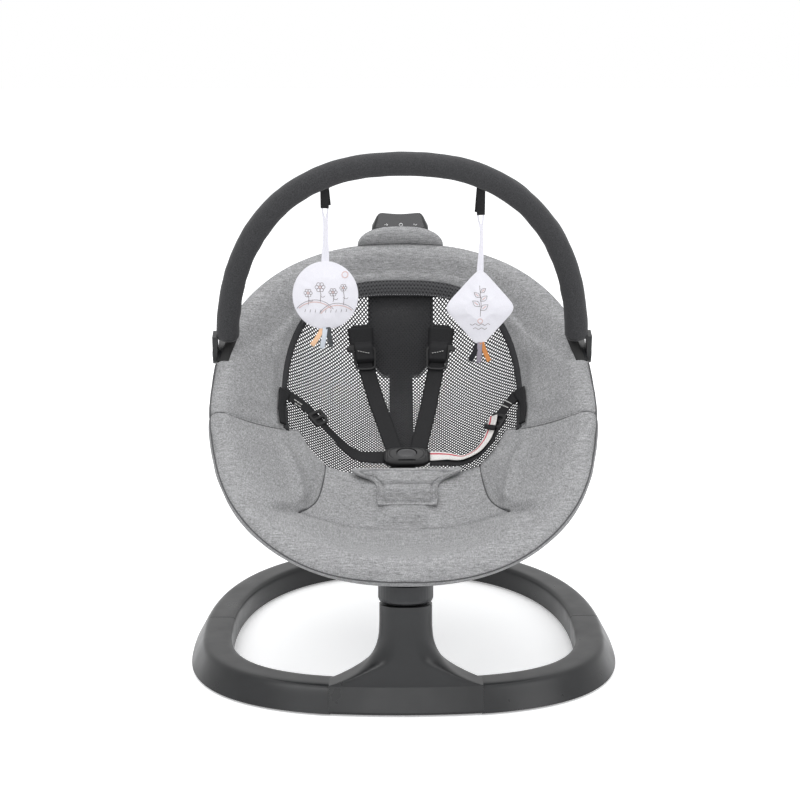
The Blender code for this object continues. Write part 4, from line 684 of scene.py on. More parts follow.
def moulded_plastic(name, colour, roughness, grain=2200.0, depth=0.00006, wear=0.06):
    """Moulded plastic: a fine spark grain, uneven gloss, and a little dust in its tone."""
    material, tree, shader = start_material(name, roughness, specular=0.35)
    coords = object_coords(tree)
    fine = noise_of(tree, coords, (1.0, 1.0, 1.0), grain, 2.0)
    broad = noise_of(tree, coords, (1.0, 1.0, 1.0), 25.0, 4.0)
    stops = ((0.3, tint(colour, 0.85)), (0.7, tint(colour, 1.2)))
    link(tree, ramp_of(tree, broad, stops), shader.inputs["Base Color"])
    uneven_gloss(tree, shader, broad, roughness - wear, roughness + wear)
    bump_on(tree, shader, fine, depth, 0.25)
    return material


def metal(name, colour, roughness, stretch):
    """Drawn metal with fine lines along its length."""
    material, tree, shader = start_material(name, roughness, metallic=1.0)
    coords = object_coords(tree)
    lines = noise_of(tree, coords, stretch, 900.0, 3.0)
    stops = ((0.35, tint(colour, 0.8)), (0.65, colour))
    link(tree, ramp_of(tree, lines, stops), shader.inputs["Base Color"])
    uneven_gloss(tree, shader, lines, roughness - 0.08, roughness + 0.1)
    bump_on(tree, shader, lines, 0.00003, 0.5)
    return material


RED_STRIPE = (0.44, 0.022, 0.050)
LOOKS = {
    "melange": melange_cloth(),
    "knit": plain_cloth("black_knit", (0.034, 0.034, 0.036), 0.8, 2600.0, 0.0002),
    "band": eyelet_cloth(),
    "binding": plain_cloth("black_binding", (0.030, 0.030, 0.032), 0.85, 1500.0, 0.0004),
    # Dark piping colour: the real piping on the rim, and painted shade where the crease cords lie in the
    # creases
    "piping": plain_cloth("dark_piping_and_crease_shade", (0.085, 0.085, 0.087), 0.85, 1500.0, 0.0003),
    "sleeve": plain_cloth("dark_sleeve_cloth", (0.040, 0.040, 0.042), 0.9, 1300.0, 0.0003, 0.15, 0.3),
    "webbing": tape_cloth("black_webbing", (0.012, 0.012, 0.013)),
    "white_tape": tape_cloth("white_striped_tape", (0.66, 0.64, 0.62), ((0.28, 0.080, RED_STRIPE),)),
    "thread": plain_cloth("white_thread", (0.58, 0.58, 0.56), 0.7, 2500.0, 0.0001),
    "grey_thread": plain_cloth("grey_thread", (0.30, 0.30, 0.31), 0.7, 2500.0, 0.0001),
    "white_cloth": plain_cloth("white_cotton", (0.742, 0.733, 0.780), 0.85, 1900.0, 0.00015, 0.0, 0.04),
    "ribbon": plain_cloth("white_ribbon", (0.735, 0.726, 0.780), 0.55, 1900.0, 0.0001, 0.0, 0.06),
    "print_line": plain_cloth("brown_print", (0.20, 0.165, 0.165), 0.85, 2500.0, 0.0001, 0.0, 0.2),
    "print_pink": plain_cloth("pink_print", (0.66, 0.48, 0.46), 0.85, 2500.0, 0.0001, 0.0, 0.08),
    "peach": plain_cloth("peach_ribbon", (0.76, 0.49, 0.31), 0.6, 1900.0, 0.0001, 0.0, 0.08),
    "pale_blue": plain_cloth("pale_ribbon", (0.60, 0.64, 0.70), 0.6, 1900.0, 0.0001, 0.0, 0.06),
    "charcoal": plain_cloth("charcoal_ribbon", (0.07, 0.075, 0.08), 0.6, 1900.0, 0.0001, 0.0, 0.1),
    "black_ribbon": plain_cloth("black_ribbon", (0.012, 0.012, 0.016), 0.6, 1900.0, 0.0001, 0.0, 0.1),
    "mauve": plain_cloth("mauve_ribbon", (0.30, 0.27, 0.32), 0.6, 1900.0, 0.0001, 0.0, 0.08),
    "orange": plain_cloth("orange_ribbon", (0.60, 0.25, 0.085), 0.6, 1900.0, 0.0001, 0.0, 0.08),
    "satin": moulded_plastic("satin_black_plastic", (0.014, 0.0145, 0.0155), 0.33),
    "buckle": moulded_plastic("buckle_plastic", (0.0085, 0.0085, 0.0092), 0.48, 1800.0, 0.00004),
    "hub": moulded_plastic("hub_grey_plastic", (0.024, 0.025, 0.027), 0.36),
    "panel": moulded_plastic("panel_plastic", (0.018, 0.018, 0.020), 0.28, 3000.0, 0.00002, 0.04),
    "icon": moulded_plastic("icon_print", (0.72, 0.72, 0.72), 0.5, 3000.0, 0.00001, 0.04),
    "rubber": moulded_plastic("rubber_pad", (0.020, 0.020, 0.020), 0.8, 900.0, 0.0001),
    "coated_steel": moulded_plastic("coated_steel", (0.026, 0.026, 0.028), 0.42, 1500.0, 0.00004),
    "steel": metal("drawn_steel", (0.55, 0.55, 0.57), 0.32, (1.0, 1.0, 0.1)),
    "copper": metal("copper_wire", (0.62, 0.30, 0.16), 0.4, (0.2, 0.2, 1.0)),
}


# Mesh helpers

def collection(name):
    made = bpy.data.collections.new(name)
    bpy.context.scene.collection.children.link(made)
    return made


PIECES = collection("child_swing_seat")
CUTTERS = collection("cutters")


def mesh_of(verts, faces):
    mesh = bpy.data.meshes.new("piece")
    spots = np.asarray(verts, float).reshape(-1, 3)
    mesh.from_pydata(spots.tolist(), [], [tuple(map(int, face)) for face in faces])
    mesh.update()
    return mesh


def out_facing(mesh):
    """Turn every face of a closed mesh outwards."""
    bm = bmesh.new()
    bm.from_mesh(mesh)
    bmesh.ops.recalc_face_normals(bm, faces=bm.faces)
    bm.to_mesh(mesh)
    bm.free()
    return mesh


def grid_faces(rows, cols, start=0, wrap=False):
    """Quads over a grid of vertices; wrap joins the last column to the first."""
    table = np.arange(rows * cols).reshape(rows, cols) + start
    if wrap:
        table = np.concatenate([table, table[:, :1]], axis=1)
    corners = (table[:-1, :-1], table[1:, :-1], table[1:, 1:], table[:-1, 1:])
    return np.stack(corners, axis=-1).reshape(-1, 4)


def skin_mesh(top, under):
    """A closed skin over two faces of the same grid."""
    rows, cols = top.shape[:2]
    count = rows * cols
    table = np.arange(count).reshape(rows, cols)
    border = np.concatenate([table[0], table[1:, -1], table[-1, -2::-1], table[-2:0:-1, 0]])
    after = np.roll(border, -1)
    walls = np.stack([border, after, after + count, border + count], axis=-1)
    faces = np.concatenate([grid_faces(rows, cols), grid_faces(rows, cols, count)[:, ::-1], walls])
    verts = np.concatenate([top.reshape(-1, 3), under.reshape(-1, 3)])
    return out_facing(mesh_of(verts, faces))


def tube_mesh(rings):
    """A closed tube over rings of points, each end closed to its middle."""
    rings = np.asarray(rings, float)
    count, around = rings.shape[:2]
    verts = list(rings.reshape(-1, 3)) + [rings[0].mean(axis=0), rings[-1].mean(axis=0)]
    faces = [tuple(f) for f in grid_faces(count, around, 0, True)]
    for ring, middle in ((0, count * around), (count - 1, count * around + 1)):
        for k in range(around):
            faces.append((ring * around + k, ring * around + (k + 1) % around, middle))
    return out_facing(mesh_of(verts, faces))


def add(name, mesh, look, body, stands_for=()):
    """Place a new piece on its body, with its material and the CAD nodes that it stands for."""
    mesh.name = name
    part = bpy.data.objects.new(name, mesh)
    PIECES.objects.link(part)
    mesh.materials.append(LOOKS[look])
    if isinstance(mesh, bpy.types.Mesh):
        mesh.shade_smooth()
    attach(part, body)
    if stands_for:
        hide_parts(*stands_for)
    return part


def subdivide(part):
    modifier = part.modifiers.new("subdivision", "SUBSURF")
    modifier.levels = 1
    modifier.render_levels = 1


def thicken(part, name, thickness):
    modifier = part.modifiers.new(name, "SOLIDIFY")
    modifier.thickness = thickness
    modifier.offset = 0.0


def hard_edges(part, angle):
    part.data.set_sharp_from_angle(angle=math.radians(angle))


def stroke_curve(bevel, bevel_steps):
    """An empty curve whose strokes are round threads."""
    curve = bpy.data.curves.new("strokes", "CURVE")
    curve.dimensions = "3D"
    curve.bevel_depth = bevel
    curve.bevel_resolution = bevel_steps
    return curve


def add_stroke(curve, spots, closed=False):
    """Add a chain of places to a curve, as one stroke with straight steps."""
    route = curve.splines.new("POLY")
    route.points.add(len(spots) - 1)
    for point, spot in zip(route.points, spots):
        point.co = (*spot, 1.0)
    route.use_cyclic_u = closed


def cut(part, name, mesh, matrix):
    """Cut a hidden mesh out of a piece; the cutter moves with the piece."""
    mesh.name = name
    cutter = bpy.data.objects.new(name, mesh)
    CUTTERS.objects.link(cutter)
    cutter.parent = part
    cutter.matrix_local = matrix
    cutter.hide_render = True
    cutter.display_type = "WIRE"
    modifier = part.modifiers.new(name, "BOOLEAN")
    modifier.operation = "DIFFERENCE"
    modifier.object = cutter
    modifier.solver = "EXACT"


def box_mesh(low, high):
    bm = bmesh.new()
    bmesh.ops.create_cube(bm, size=1.0)
    for vert in bm.verts:
        vert.co = Vector(a + (c + 0.5) * (b - a) for a, b, c in zip(low, high, vert.co))
    mesh = bpy.data.meshes.new("box")
    bm.to_mesh(mesh)
    bm.free()
    return mesh


# Moulded base

def ring_profile():
    """Outer and inner skin of the ring's channel as (distance inwards, height)."""
    top = RING_HEIGHT - FOOT_HEIGHT
    lean = RING_DRAFT / top
    low, high = top - RING_EDGE * 1.6, top - RING_EDGE * 0.45
    outer = [(0.0, 0.0), (low * lean * 0.5, low * 0.5), (low * lean, low), (high * lean + 0.0008, high),
             (RING_DRAFT + RING_EDGE, top), (RING_WIDTH / 2 + 0.012, top), (RING_WIDTH - RING_EDGE, top),
             (RING_WIDTH - 0.0012, high), (RING_WIDTH, low), (RING_WIDTH, low * 0.5), (RING_WIDTH, 0.0)]
    outer = even(corner_cut(outer, 3), 44)
    roof = top - RING_WALL
    inner = [(RING_WALL, 0.0), (high * lean + RING_WALL, roof - 0.0012),
             (RING_DRAFT + RING_EDGE + 0.001, roof), (RING_WIDTH - RING_EDGE - 0.001, roof),
             (RING_WIDTH - RING_WALL, roof - 0.0012), (RING_WIDTH - RING_WALL, 0.0)]
    return outer, even(inner, 44)


def corner_cut(points, rounds):
    """Round a chain of points by cutting its corners, ends kept."""
    points = np.asarray(points, float)
    for _ in range(rounds):
        near = points[:-1] * 0.75 + points[1:] * 0.25
        far = points[:-1] * 0.25 + points[1:] * 0.75
        middle = np.stack([near, far], axis=1).reshape(-1, points.shape[1])
        points = np.vstack([points[:1], middle[1:-1], points[-1:]])
    return points


def build_ring():
    seam = RING.share_at(RING_SEAM_Y)
    slip = RING_SLIP / RING.length
    block = RING.share_beside(BLOCK_HALF_WIDTH - 0.002)
    outer, inner = ring_profile()
    spans = {"right": (block, seam - slip, 90), "rear": (seam + slip, 1 - seam - slip, 170),
             "left": (1 - seam + slip, 1 - block, 90)}
    for side, (start, end, count) in spans.items():
        shares = np.linspace(start, end, count)
        place, out = RING.place(shares), RING.outward(shares)
        faces = []
        for profile in (outer, inner):
            spots = place[:, None] - out[:, None] * profile[None, :, :1]
            heights = np.broadcast_to(FOOT_HEIGHT + profile[None, :, 1:], spots.shape[:2] + (1,))
            faces.append(np.concatenate([spots, heights], axis=-1))
        arc = add("ring_arc_" + side, skin_mesh(*faces), "satin", "base", ["base_arc_" + side])
        hard_edges(arc, 50.0)


def column_section(height):
    """One level of the block and column: a front nose, swept sides and a rounded back."""
    share = min(max((height - RING_HEIGHT) / (NECK_Z - RING_HEIGHT), 0.0), 1.0)
    side = mix(NECK_RADIUS, BLOCK_HALF_WIDTH, (1 - share) ** FLARE_POWER)
    nose = mix(NOSE_HALF_WIDTH, BLOCK_HALF_WIDTH, (1 - share) ** NOSE_POWER)
    ring_front = RING_WIDEST_Y - RING_FRONT_REACH
    low_front = ring_front - BLOCK_PROUD + RING_DRAFT * min(height / RING_HEIGHT, 1.0)
    lean = math.tan(AXIS_LEAN)
    axis_y = AXIS_Y - (NECK_Z - height) * lean
    front = mix(low_front, AXIS_Y - NECK_RADIUS, ease(0.0, 1.0, share))
    ring_back = ring_front + RING_WIDTH + BLOCK_PROUD
    back = mix(ring_back, AXIS_Y + NECK_RADIUS, 1 - (1 - share) ** 1.8)
    waist = mix((low_front + ring_back) / 2, axis_y, ease(0.0, 0.4, share))
    side = max(side, nose + 0.0004)
    power = mix(BLOCK_POWER, 2.0, ease(0.0, 0.35, share))
    bow = RING_FRONT_REACH * (1 - (1 - (BLOCK_HALF_WIDTH / RING_HALF_WIDTH) ** RING_FRONT_POWER)
                              ** (1 / RING_FRONT_POWER))
    xs = np.linspace(0.0, nose, 12)
    front_run = np.stack([xs, front + bow * (xs / BLOCK_HALF_WIDTH) ** 2], axis=-1)
    nose_y = front_run[-1, 1]
    turn = superellipse(np.linspace(math.pi / 2, 0.0, 25)[1:], side - nose, waist - nose_y, power)
    corner = np.stack([nose + turn[:, 0], waist - turn[:, 1]], axis=-1)
    turn = superellipse(np.linspace(0.0, math.pi / 2, 25)[1:], side, back - waist, power)
    rear = np.stack([turn[:, 0], waist + turn[:, 1]], axis=-1)
    half = np.vstack([front_run, corner, rear])
    half = np.column_stack([half, height - lean * share ** 3 * (half[:, 1] - axis_y)])
    mirrored = half[-2:0:-1] * (-1.0, 1.0, 1.0)
    return np.vstack([half, mirrored])


def build_column():
    low = FOOT_HEIGHT
    heights = [low, low + 0.0006, low + 0.002] + list(np.linspace(0.007, RING_HEIGHT - 0.0022, 8))
    heights += [RING_HEIGHT - 0.001, RING_HEIGHT]
    heights += list(RING_HEIGHT + (NECK_Z - RING_HEIGHT) * np.linspace(0.0, 1.0, 74)[1:] ** 1.9)
    rings = [column_section(height) for height in heights]
    middle = rings[0].mean(axis=0)
    for ring, inset in ((0, 0.0016), (1, 0.0006)):
        rings[ring][:, :2] += (middle[:2] - rings[ring][:, :2]) * (inset / 0.03)
    top = rings[-1].copy()
    top[:, :2] = mix(top[:, :2], top[:, :2].mean(axis=0), 0.04)
    rings.append(top)
    column = add("column_moulding", tube_mesh(rings), "satin", "base", ["column_housing"])
    cut(column, "block_cavity", box_mesh(CAVITY_LOW, CAVITY_HIGH), Matrix.Identity(4))
    hard_edges(column, 60.0)


# Spine arm and pod

def arm_stations():
    """Middle line of the spine arm in the seat frame, with its half width at each place."""
    hub = (axis_matrix(COLLAR_HEIGHT * 0.42).translation - Vector((0.0, SEAT_FOOT_Y, SEAT_FOOT_Z)))
    hub = Matrix.Rotation(-SEAT_SLOPE, 4, "X") @ hub
    stations = [(hub.y, hub.z, ARM_HUB_HALF_WIDTH)]
    under = ARM_DROP + ARM_THICKNESS / 2
    for share in ARM_SHARES:
        w = share * RIM_LENGTH
        narrow = min(max((PADDLE_FULL_W - w) / (PADDLE_FULL_W - PADDLE_START_W), 0.0), 1.0)
        width = mix(STEM_HALF_WIDTH, PADDLE_HALF_WIDTH, math.sqrt(1 - narrow ** 2))
        width = mix(ARM_HUB_HALF_WIDTH, width, ease(0.074, 0.324, share))
        stations.append((w, float(BOWL(np.array(0.0), np.array(w))) - under, width))
    rim_end = RIM_LENGTH - ROLL_RADIUS
    clear = ROLL_RADIUS + ARM_THICKNESS / 2 + ARM_RIM_GAP
    for angle in (-97.0, -70.0, -45.0, -22.0):
        turn = math.radians(angle)
        stations.append((rim_end + clear * math.cos(turn), clear * math.sin(turn), PADDLE_HALF_WIDTH - 0.002))
    return np.array(stations)


def arm_frames(count):
    """Centre, face direction and half width along the arm, in the seat frame."""
    stations = spline(arm_stations(), count)
    spots = np.column_stack([np.zeros(count), stations[:, :2]])
    ahead = heading(spots)
    face = np.cross(np.broadcast_to((1.0, 0.0, 0.0), ahead.shape), ahead)
    return spots, face, stations[:, 2]


def build_arm():
    spots, face, width = arm_frames(170)
    share = np.sin(np.linspace(-math.pi / 2, math.pi / 2, 25))
    half = ARM_THICKNESS / 2
    for name, sign in (("front", 1.0), ("rear", -1.0)):
        x = share[None, :] * width[:, None]
        inward = np.clip((np.abs(x) - (width[:, None] - ARM_EDGE)) / ARM_EDGE, 0.0, 1.0)
        drop = ARM_EDGE * (1 - np.sqrt(1 - inward ** 2 * 0.98))
        rows = []
        for depth in (sign * (half - drop), np.full(x.shape, sign * HALF_GAP)):
            row = spots[:, None] + face[:, None] * depth[..., None]
            row = row + np.stack([x, np.zeros_like(x), np.zeros_like(x)], axis=-1)
            rows.append(to_world(row))
        part = add("arm_shell_" + name, skin_mesh(*rows), "satin", "seat", ["spine_" + name])
        ring = COLLAR_RADIUS * superellipse(round_angles(64), 1.0, 1.0, 2.0)
        rings = [[(*spot, z) for spot in ring] for z in (-0.02, COLLAR_HEIGHT + 0.02)]
        cut(part, "collar_clearance_" + name, tube_mesh(rings), axis_matrix(0.0))
        hard_edges(part, 40.0)


def pod_levels():
    """Front line, back line and half width of the control pod, from the arm's end up."""
    spots, face, width = arm_frames(170)
    spot, out = spots[-1], face[-1]
    along = np.array([0.0, -out[2], out[1]])
    along = along if along[1] > 0 else -along
    half = ARM_THICKNESS / 2
    start = spot + along * 0.0006
    end = start + along * 0.010
    head = to_world(np.array([0.0, RIM_LENGTH - ROLL_RADIUS, 0.0]))
    return [
        (to_world(start + out * half), to_world(start - out * half), width[-1]),
        (to_world(end + out * (half - 0.002)), to_world(end - out * (half + 0.006)), width[-1] - 0.001),
        (head + POD_LOW_FRONT, head + POD_LOW_BACK, POD_LOW_HALF_WIDTH),
        (head + POD_TOP_FRONT, head + POD_TOP_BACK, POD_TOP_HALF_WIDTH),
    ]


def pod_face_frame():
    levels = pod_levels()
    low, high = Vector(levels[2][0]), Vector(levels[3][0])
    up = (high - low).normalized()
    normal = Vector((1.0, 0.0, 0.0)).cross(up)
    turn = Matrix((Vector((1.0, 0.0, 0.0)), up, normal)).transposed().to_4x4()
    return Matrix.Translation((low + high) / 2) @ turn, (high - low).length


def build_pod():
    levels = pod_levels()
    count = 46
    places = np.concatenate([np.linspace(0, 2, 26)[:-1], 2 + np.linspace(0, 1, count - 25)])
    rings = []
    for place in places:
        i = min(int(place), 2)
        t = place - i
        front, back = mix(levels[i][0], levels[i + 1][0], t), mix(levels[i][1], levels[i + 1][1], t)
        width = mix(levels[i][2], levels[i + 1][2], ease(0.0, 1.0, t) if i < 2 else t)
        middle, depth = (front + back) / 2, (back - front) / 2
        outline = superellipse(round_angles(72), 1.0, 1.0, 5.0)
        ring = middle + outline[:, :1] * (width, 0.0, 0.0) + outline[:, 1:] * depth
        dip = 1 - np.clip(np.abs(outline[:, 0]) / 0.92, 0.0, 1.0) ** 2
        ring[:, 2] -= POD_DIP * dip * ease(2.35, 3.0, place)
        horn = np.clip((np.abs(outline[:, 0]) - 0.78) / 0.22, 0.0, 1.0) ** 2
        ring[:, 2] -= POD_HORN * horn * ease(2.75, 3.0, place)
        rings.append(ring)
    rim = rings[count - 1]
    for inset in (0.008, 0.03, 0.08, 0.18):
        raised = np.array([0.0, 0.0002, 0.0008]) * min(inset / 0.03, 1)
        rings.append(mix(rim, rim.mean(axis=0), inset) + raised)
    part = add("control_pod_shell", tube_mesh(rings), "satin", "seat", ["control_pod"])
    hard_edges(part, 55.0)


def build_icons():
    """Three small printed signs on the sloping panel: an arrow, a ring and a wave."""
    place, height = pod_face_frame()
    low = -height / 2 + 0.0072
    curve = stroke_curve(ICON_LINE, 2)
    ring = superellipse(np.linspace(0, 2 * math.pi, 25), ICON_SIZE, ICON_SIZE, 2.0)
    arrow = [(-ICON_SIZE, 0.0), (ICON_SIZE, 0.0)]
    head = [(0.0004, 0.0022), (ICON_SIZE, 0.0), (0.0004, -0.0022)]
    wave = [(0.0008 * k - 0.0028, 0.0012 * math.sin(k * 1.1)) for k in range(8)]
    tick = [(0.0, 0.0012), (0.0, 0.0034)]
    for centre, strokes in ((-0.0215, (arrow, head)), (0.0012, (ring, tick)), (0.0232, (wave,))):
        for stroke in strokes:
            add_stroke(curve, [(centre + x, low + y, ICON_LIFT) for x, y in stroke])
    icons = add("panel_icons", curve, "icon", "seat")
    icons.matrix_world = place


# Padded cover

def cover_relief(u, w):
    """Small lifts of the cover over its plain form: ridges, side folds, pulls at the creases, loose cloth."""
    side = np.abs(u)
    off_ridge = distance_to_path(side, w, RIDGE)
    ridge = RIDGE_HEIGHT * bell(off_ridge, 0.0, RIDGE_WIDTH)
    ridge = ridge + RIDGE_CREST * bell(off_ridge, 0.0, RIDGE_CREST_WIDTH)
    hollow = HOLLOW_DEPTH * bell(distance_to_path(side + HOLLOW_OFFSET, w, RIDGE), 0.0, HOLLOW_WIDTH)
    fold = soft_noise(u, w, 0.060, 3) * 0.0008 + soft_noise(u + 0.4 * w, w, 0.026, 5) * 0.0004
    front = bell(w, 0.075, 0.05) * bell(side, 0.13, 0.05)
    wrinkle = np.sin((w + 0.55 * side) / 0.0085 + soft_noise(u, w, 0.03, 9) * 2.0) * front * 0.0005
    far = np.hypot(side - 0.158, w - 0.158)
    turn = np.arctan2(w - 0.198, side - 0.132)
    pull = np.sin(9.0 * turn + soft_noise(u, w, 0.05, 17)) * bell(far, 0.0, 0.030) * PULL_DEPTH
    return ridge - hollow + fold + wrinkle + pull


def cover_faces(shares, inner, along):
    """Top and under faces of a cover: round the rim tube, over it and down into the bowl."""
    roll_steps, run_steps = 20, 30
    middle, out = RIM.place(shares), RIM.outward(shares)
    angles = np.linspace(ROLL_START, ROLL_END, roll_steps)
    full = 1 - (1 - along) ** 6
    seam_gap = along * abs(shares[-1] - shares[0]) * RIM.length
    pinch = bell(seam_gap, 0.0, 0.006)
    rolls = []
    for radius in (ROLL_RADIUS, ROLL_BORE):
        size = np.repeat((radius * (1 - 0.07 * pinch))[:, None], roll_steps, axis=1)
        if radius == ROLL_RADIUS:
            walk = shares[:, None] * RIM.length
            size = size + 0.0002 * soft_noise(walk + 0 * size, angles[None] * 0.02 + 0 * size, 0.05, 11)
        spot = middle[:, None] + out[:, None] * (size * np.cos(angles))[..., None]
        rolls.append(np.concatenate([spot, (size * np.sin(angles))[..., None]], axis=-1))
    crest = crest_at(shares)
    run = np.linalg.norm(inner - crest, axis=1)
    fill = full * np.minimum(run / 0.08, 1.0)
    steps = np.linspace(0.0, 1.0, run_steps + 1)[1:]
    spot = crest[:, None] + (inner - crest)[:, None] * steps[None, :, None]
    u, w = spot[..., 0], spot[..., 1]
    hold = np.sin(math.pi * np.clip(steps, 0.0, 1.0)) ** 0.7
    lift = COVER_CROWN * fill[:, None] * (1 - np.abs(2 * steps - 1) ** 3)
    lift = lift + cover_relief(u, w) * hold * full[:, None] - 0.0022 * pinch[:, None] * hold
    sag = COVER_SAG * fill[:, None] * np.sin(math.pi * steps) ** 4
    top = np.concatenate([rolls[0], off_bowl(u, w, lift)], axis=1)
    under = np.concatenate([rolls[1], off_bowl(u, w, -COVER_EDGE - sag)], axis=1)
    near = slice(roll_steps - 5, roll_steps + 5)
    for _ in range(6):
        middle_row = (top[:, :-2] + 2 * top[:, 1:-1] + top[:, 2:]) / 4
        top[:, near] = middle_row[:, roll_steps - 6:roll_steps + 4]
    return top, under


def both_sides(face):
    """A right half joined to its mirror image at its last row."""
    mirrored = face[:-1][::-1] * (-1.0, 1.0, 1.0)
    return np.concatenate([face, mirrored])


def front_cover_faces(count=84):
    seam = RIM.share_at(WING_SEAM_W)
    along = np.linspace(0.0, 1.0, count)
    shares = seam * (1 - along)
    shares[0] = seam - SEWN_GAP / RIM.length
    points = [WING_SEAM_INNER] + list(CREASE)
    for i in range(7):
        u = CUSHION_FRONT_HALF * (1 - i / 6)
        points.append((u, CUSHION_FRONT_W + CUSHION_FRONT_BOW * (1 - (u / CUSHION_FRONT_HALF) ** 2)))
    inner = spline(points, count)
    inner[0, 1] -= SEWN_GAP
    inner[-1, 0] = 0.0
    return cover_faces(shares, inner, along)


def window_edge(count):
    """The window's right edge from the wing seam to the head, evenly spaced."""
    seam = RIM.share_at(WING_SEAM_W)
    crest = crest_at(seam)
    inner = np.array(WING_SEAM_INNER)
    foot = mix(crest, inner, (crest[0] - WINDOW_FOOT_U) / (crest[0] - inner[0]))
    side = np.linspace(0.0, 1.0, 30)[:-1, None]
    straight = mix(foot, np.array([WINDOW_HALF_WIDTH, WINDOW_MIDDLE_W]), side)
    arch = superellipse(np.linspace(0.0, math.pi / 2, 200), WINDOW_HALF_WIDTH, WINDOW_RISE, WINDOW_POWER)
    return even(np.vstack([straight, arch + (0.0, WINDOW_MIDDLE_W)]), count)


def head_cover_faces(count=96):
    seam = RIM.share_at(WING_SEAM_W)
    along = np.linspace(0.0, 1.0, count)
    shares = mix(seam, 0.5, along)
    shares[0] = seam + SEWN_GAP / RIM.length
    inner = window_edge(count)
    inner[0, 1] += SEWN_GAP
    inner[-1, 0] = 0.0
    return cover_faces(shares, inner, along)


def pad_faces(rows, top_lift, under_lift, crown, sag, relief=None):
    """A crowned pad on the bowl over rows of (u, w) places, sewn flat at its edges."""
    rows = np.asarray(rows, float)
    count, across = rows.shape[:2]
    along = 1 - np.abs(np.linspace(-1, 1, count)) ** 3
    sideways = 1 - np.abs(np.linspace(-1, 1, across)) ** 3
    swell = along[:, None] * sideways[None]
    u, w = rows[..., 0], rows[..., 1]
    lift = top_lift + crown * swell
    if relief is not None:
        lift = lift + relief(u, w) * np.minimum(swell * 3, 1.0)
    return off_bowl(u, w, lift), off_bowl(u, w, under_lift - sag * swell)


def cushion_relief(u, w):
    return soft_noise(u, w, 0.045, 21) * 0.0012 + soft_noise(u, w, 0.018, 22) * 0.0004


def cushion_rows():
    side = [(CUSHION_FRONT_HALF, CUSHION_FRONT_W)] + list(reversed(CREASE[2:]))
    edge = spline(side, 44)
    share = np.linspace(0.0, 1.0, 44)
    bow = mix(CUSHION_FRONT_BOW, CUSHION_REAR_BOW, share)
    half = edge[:, 0] - SEWN_GAP
    u = half[:, None] * np.linspace(-1, 1, 60)[None]
    w = (edge[:, 1] + SEWN_GAP * (1 - share))[:, None] + bow[:, None] * (1 - (u / half[:, None]) ** 2)
    return np.stack([u, w], axis=-1)


def crotch_relief(u, w):
    """A stitched channel that follows the edge, the soft fold over the seat's edge and the lower seam."""
    widths = np.array(CROTCH_PROFILE)
    half = np.interp(w, widths[:, 1] * RIM_LENGTH, widths[:, 0])
    top = CROTCH_PROFILE[-1][1] * RIM_LENGTH
    inside = np.minimum(half - np.abs(u - BUCKLE_U), (top - w) * 1.15)
    edge = CROTCH_WELT * bell(inside, 0.0045, 0.0035)
    edge = edge - CROTCH_CHANNEL * bell(inside, CROTCH_CHANNEL_IN, 0.0015)
    fold = CROTCH_FOLD * bell(w, CROTCH_FOLD_W, 0.011) - CROTCH_CREASE * bell(w, CROTCH_CREASE_W, 0.0035)
    cloth = soft_noise(u, w, 0.02, 31) * 0.0006
    return edge + fold - CROTCH_SEAM * bell(w, CROTCH_SEAM_W, 0.0022) + cloth


def crotch_rows():
    edge = spline(CROTCH_PROFILE, 60)
    u = BUCKLE_U + edge[:, :1] * np.linspace(-1, 1, 84)[None]
    w = np.broadcast_to(edge[:, 1:] * RIM_LENGTH, u.shape)
    return np.stack([u, w], axis=-1)


def roll_rings():
    """The fabric roll that hugs the front of the pod, gathered along its lower middle."""
    top = to_world(np.array([0.0, RIM_LENGTH - ROLL_RADIUS, 0.0]))
    rings = []
    angles = round_angles(40)
    low = np.clip(-np.sin(angles) - np.cos(angles) * 0.6, 0.0, 1.0)
    for share in np.sin(np.linspace(-math.pi / 2, math.pi / 2, 91)):
        x = HEAD_ROLL_HALF * share
        dome = (1 - abs(share) ** 3) ** 0.5
        gather = 0.5 + 0.5 * math.sin(x / 0.0021 + 2.5 * math.sin(x / 0.011))
        gather *= bell(x, 0.004, 0.022) * HEAD_ROLL_GATHER
        height = top[2] + HEAD_ROLL_FOOT + HEAD_ROLL_RISE * dome - 0.002 * share ** 2
        middle = np.array([x, top[1] + 0.0075 - 0.004 * share ** 2, height])
        deep = HEAD_ROLL_DEPTH * dome + 0.0008 - gather * low
        tall = HEAD_ROLL_RISE * dome + 0.0008 - gather * low
        ring = np.stack([np.zeros(40), deep * -np.cos(angles), tall * np.sin(angles)], axis=-1)
        rings.append(middle + ring)
    return rings


def add_pad(name, mesh, look, body, nodes, fill, held, cap, pressure=4.0):
    """A padded piece that takes part in the cloth simulation, with its held vertices."""
    part = add(name, mesh, look, body, nodes)
    SWELLING.append((part, held, cap, pressure))
    return part


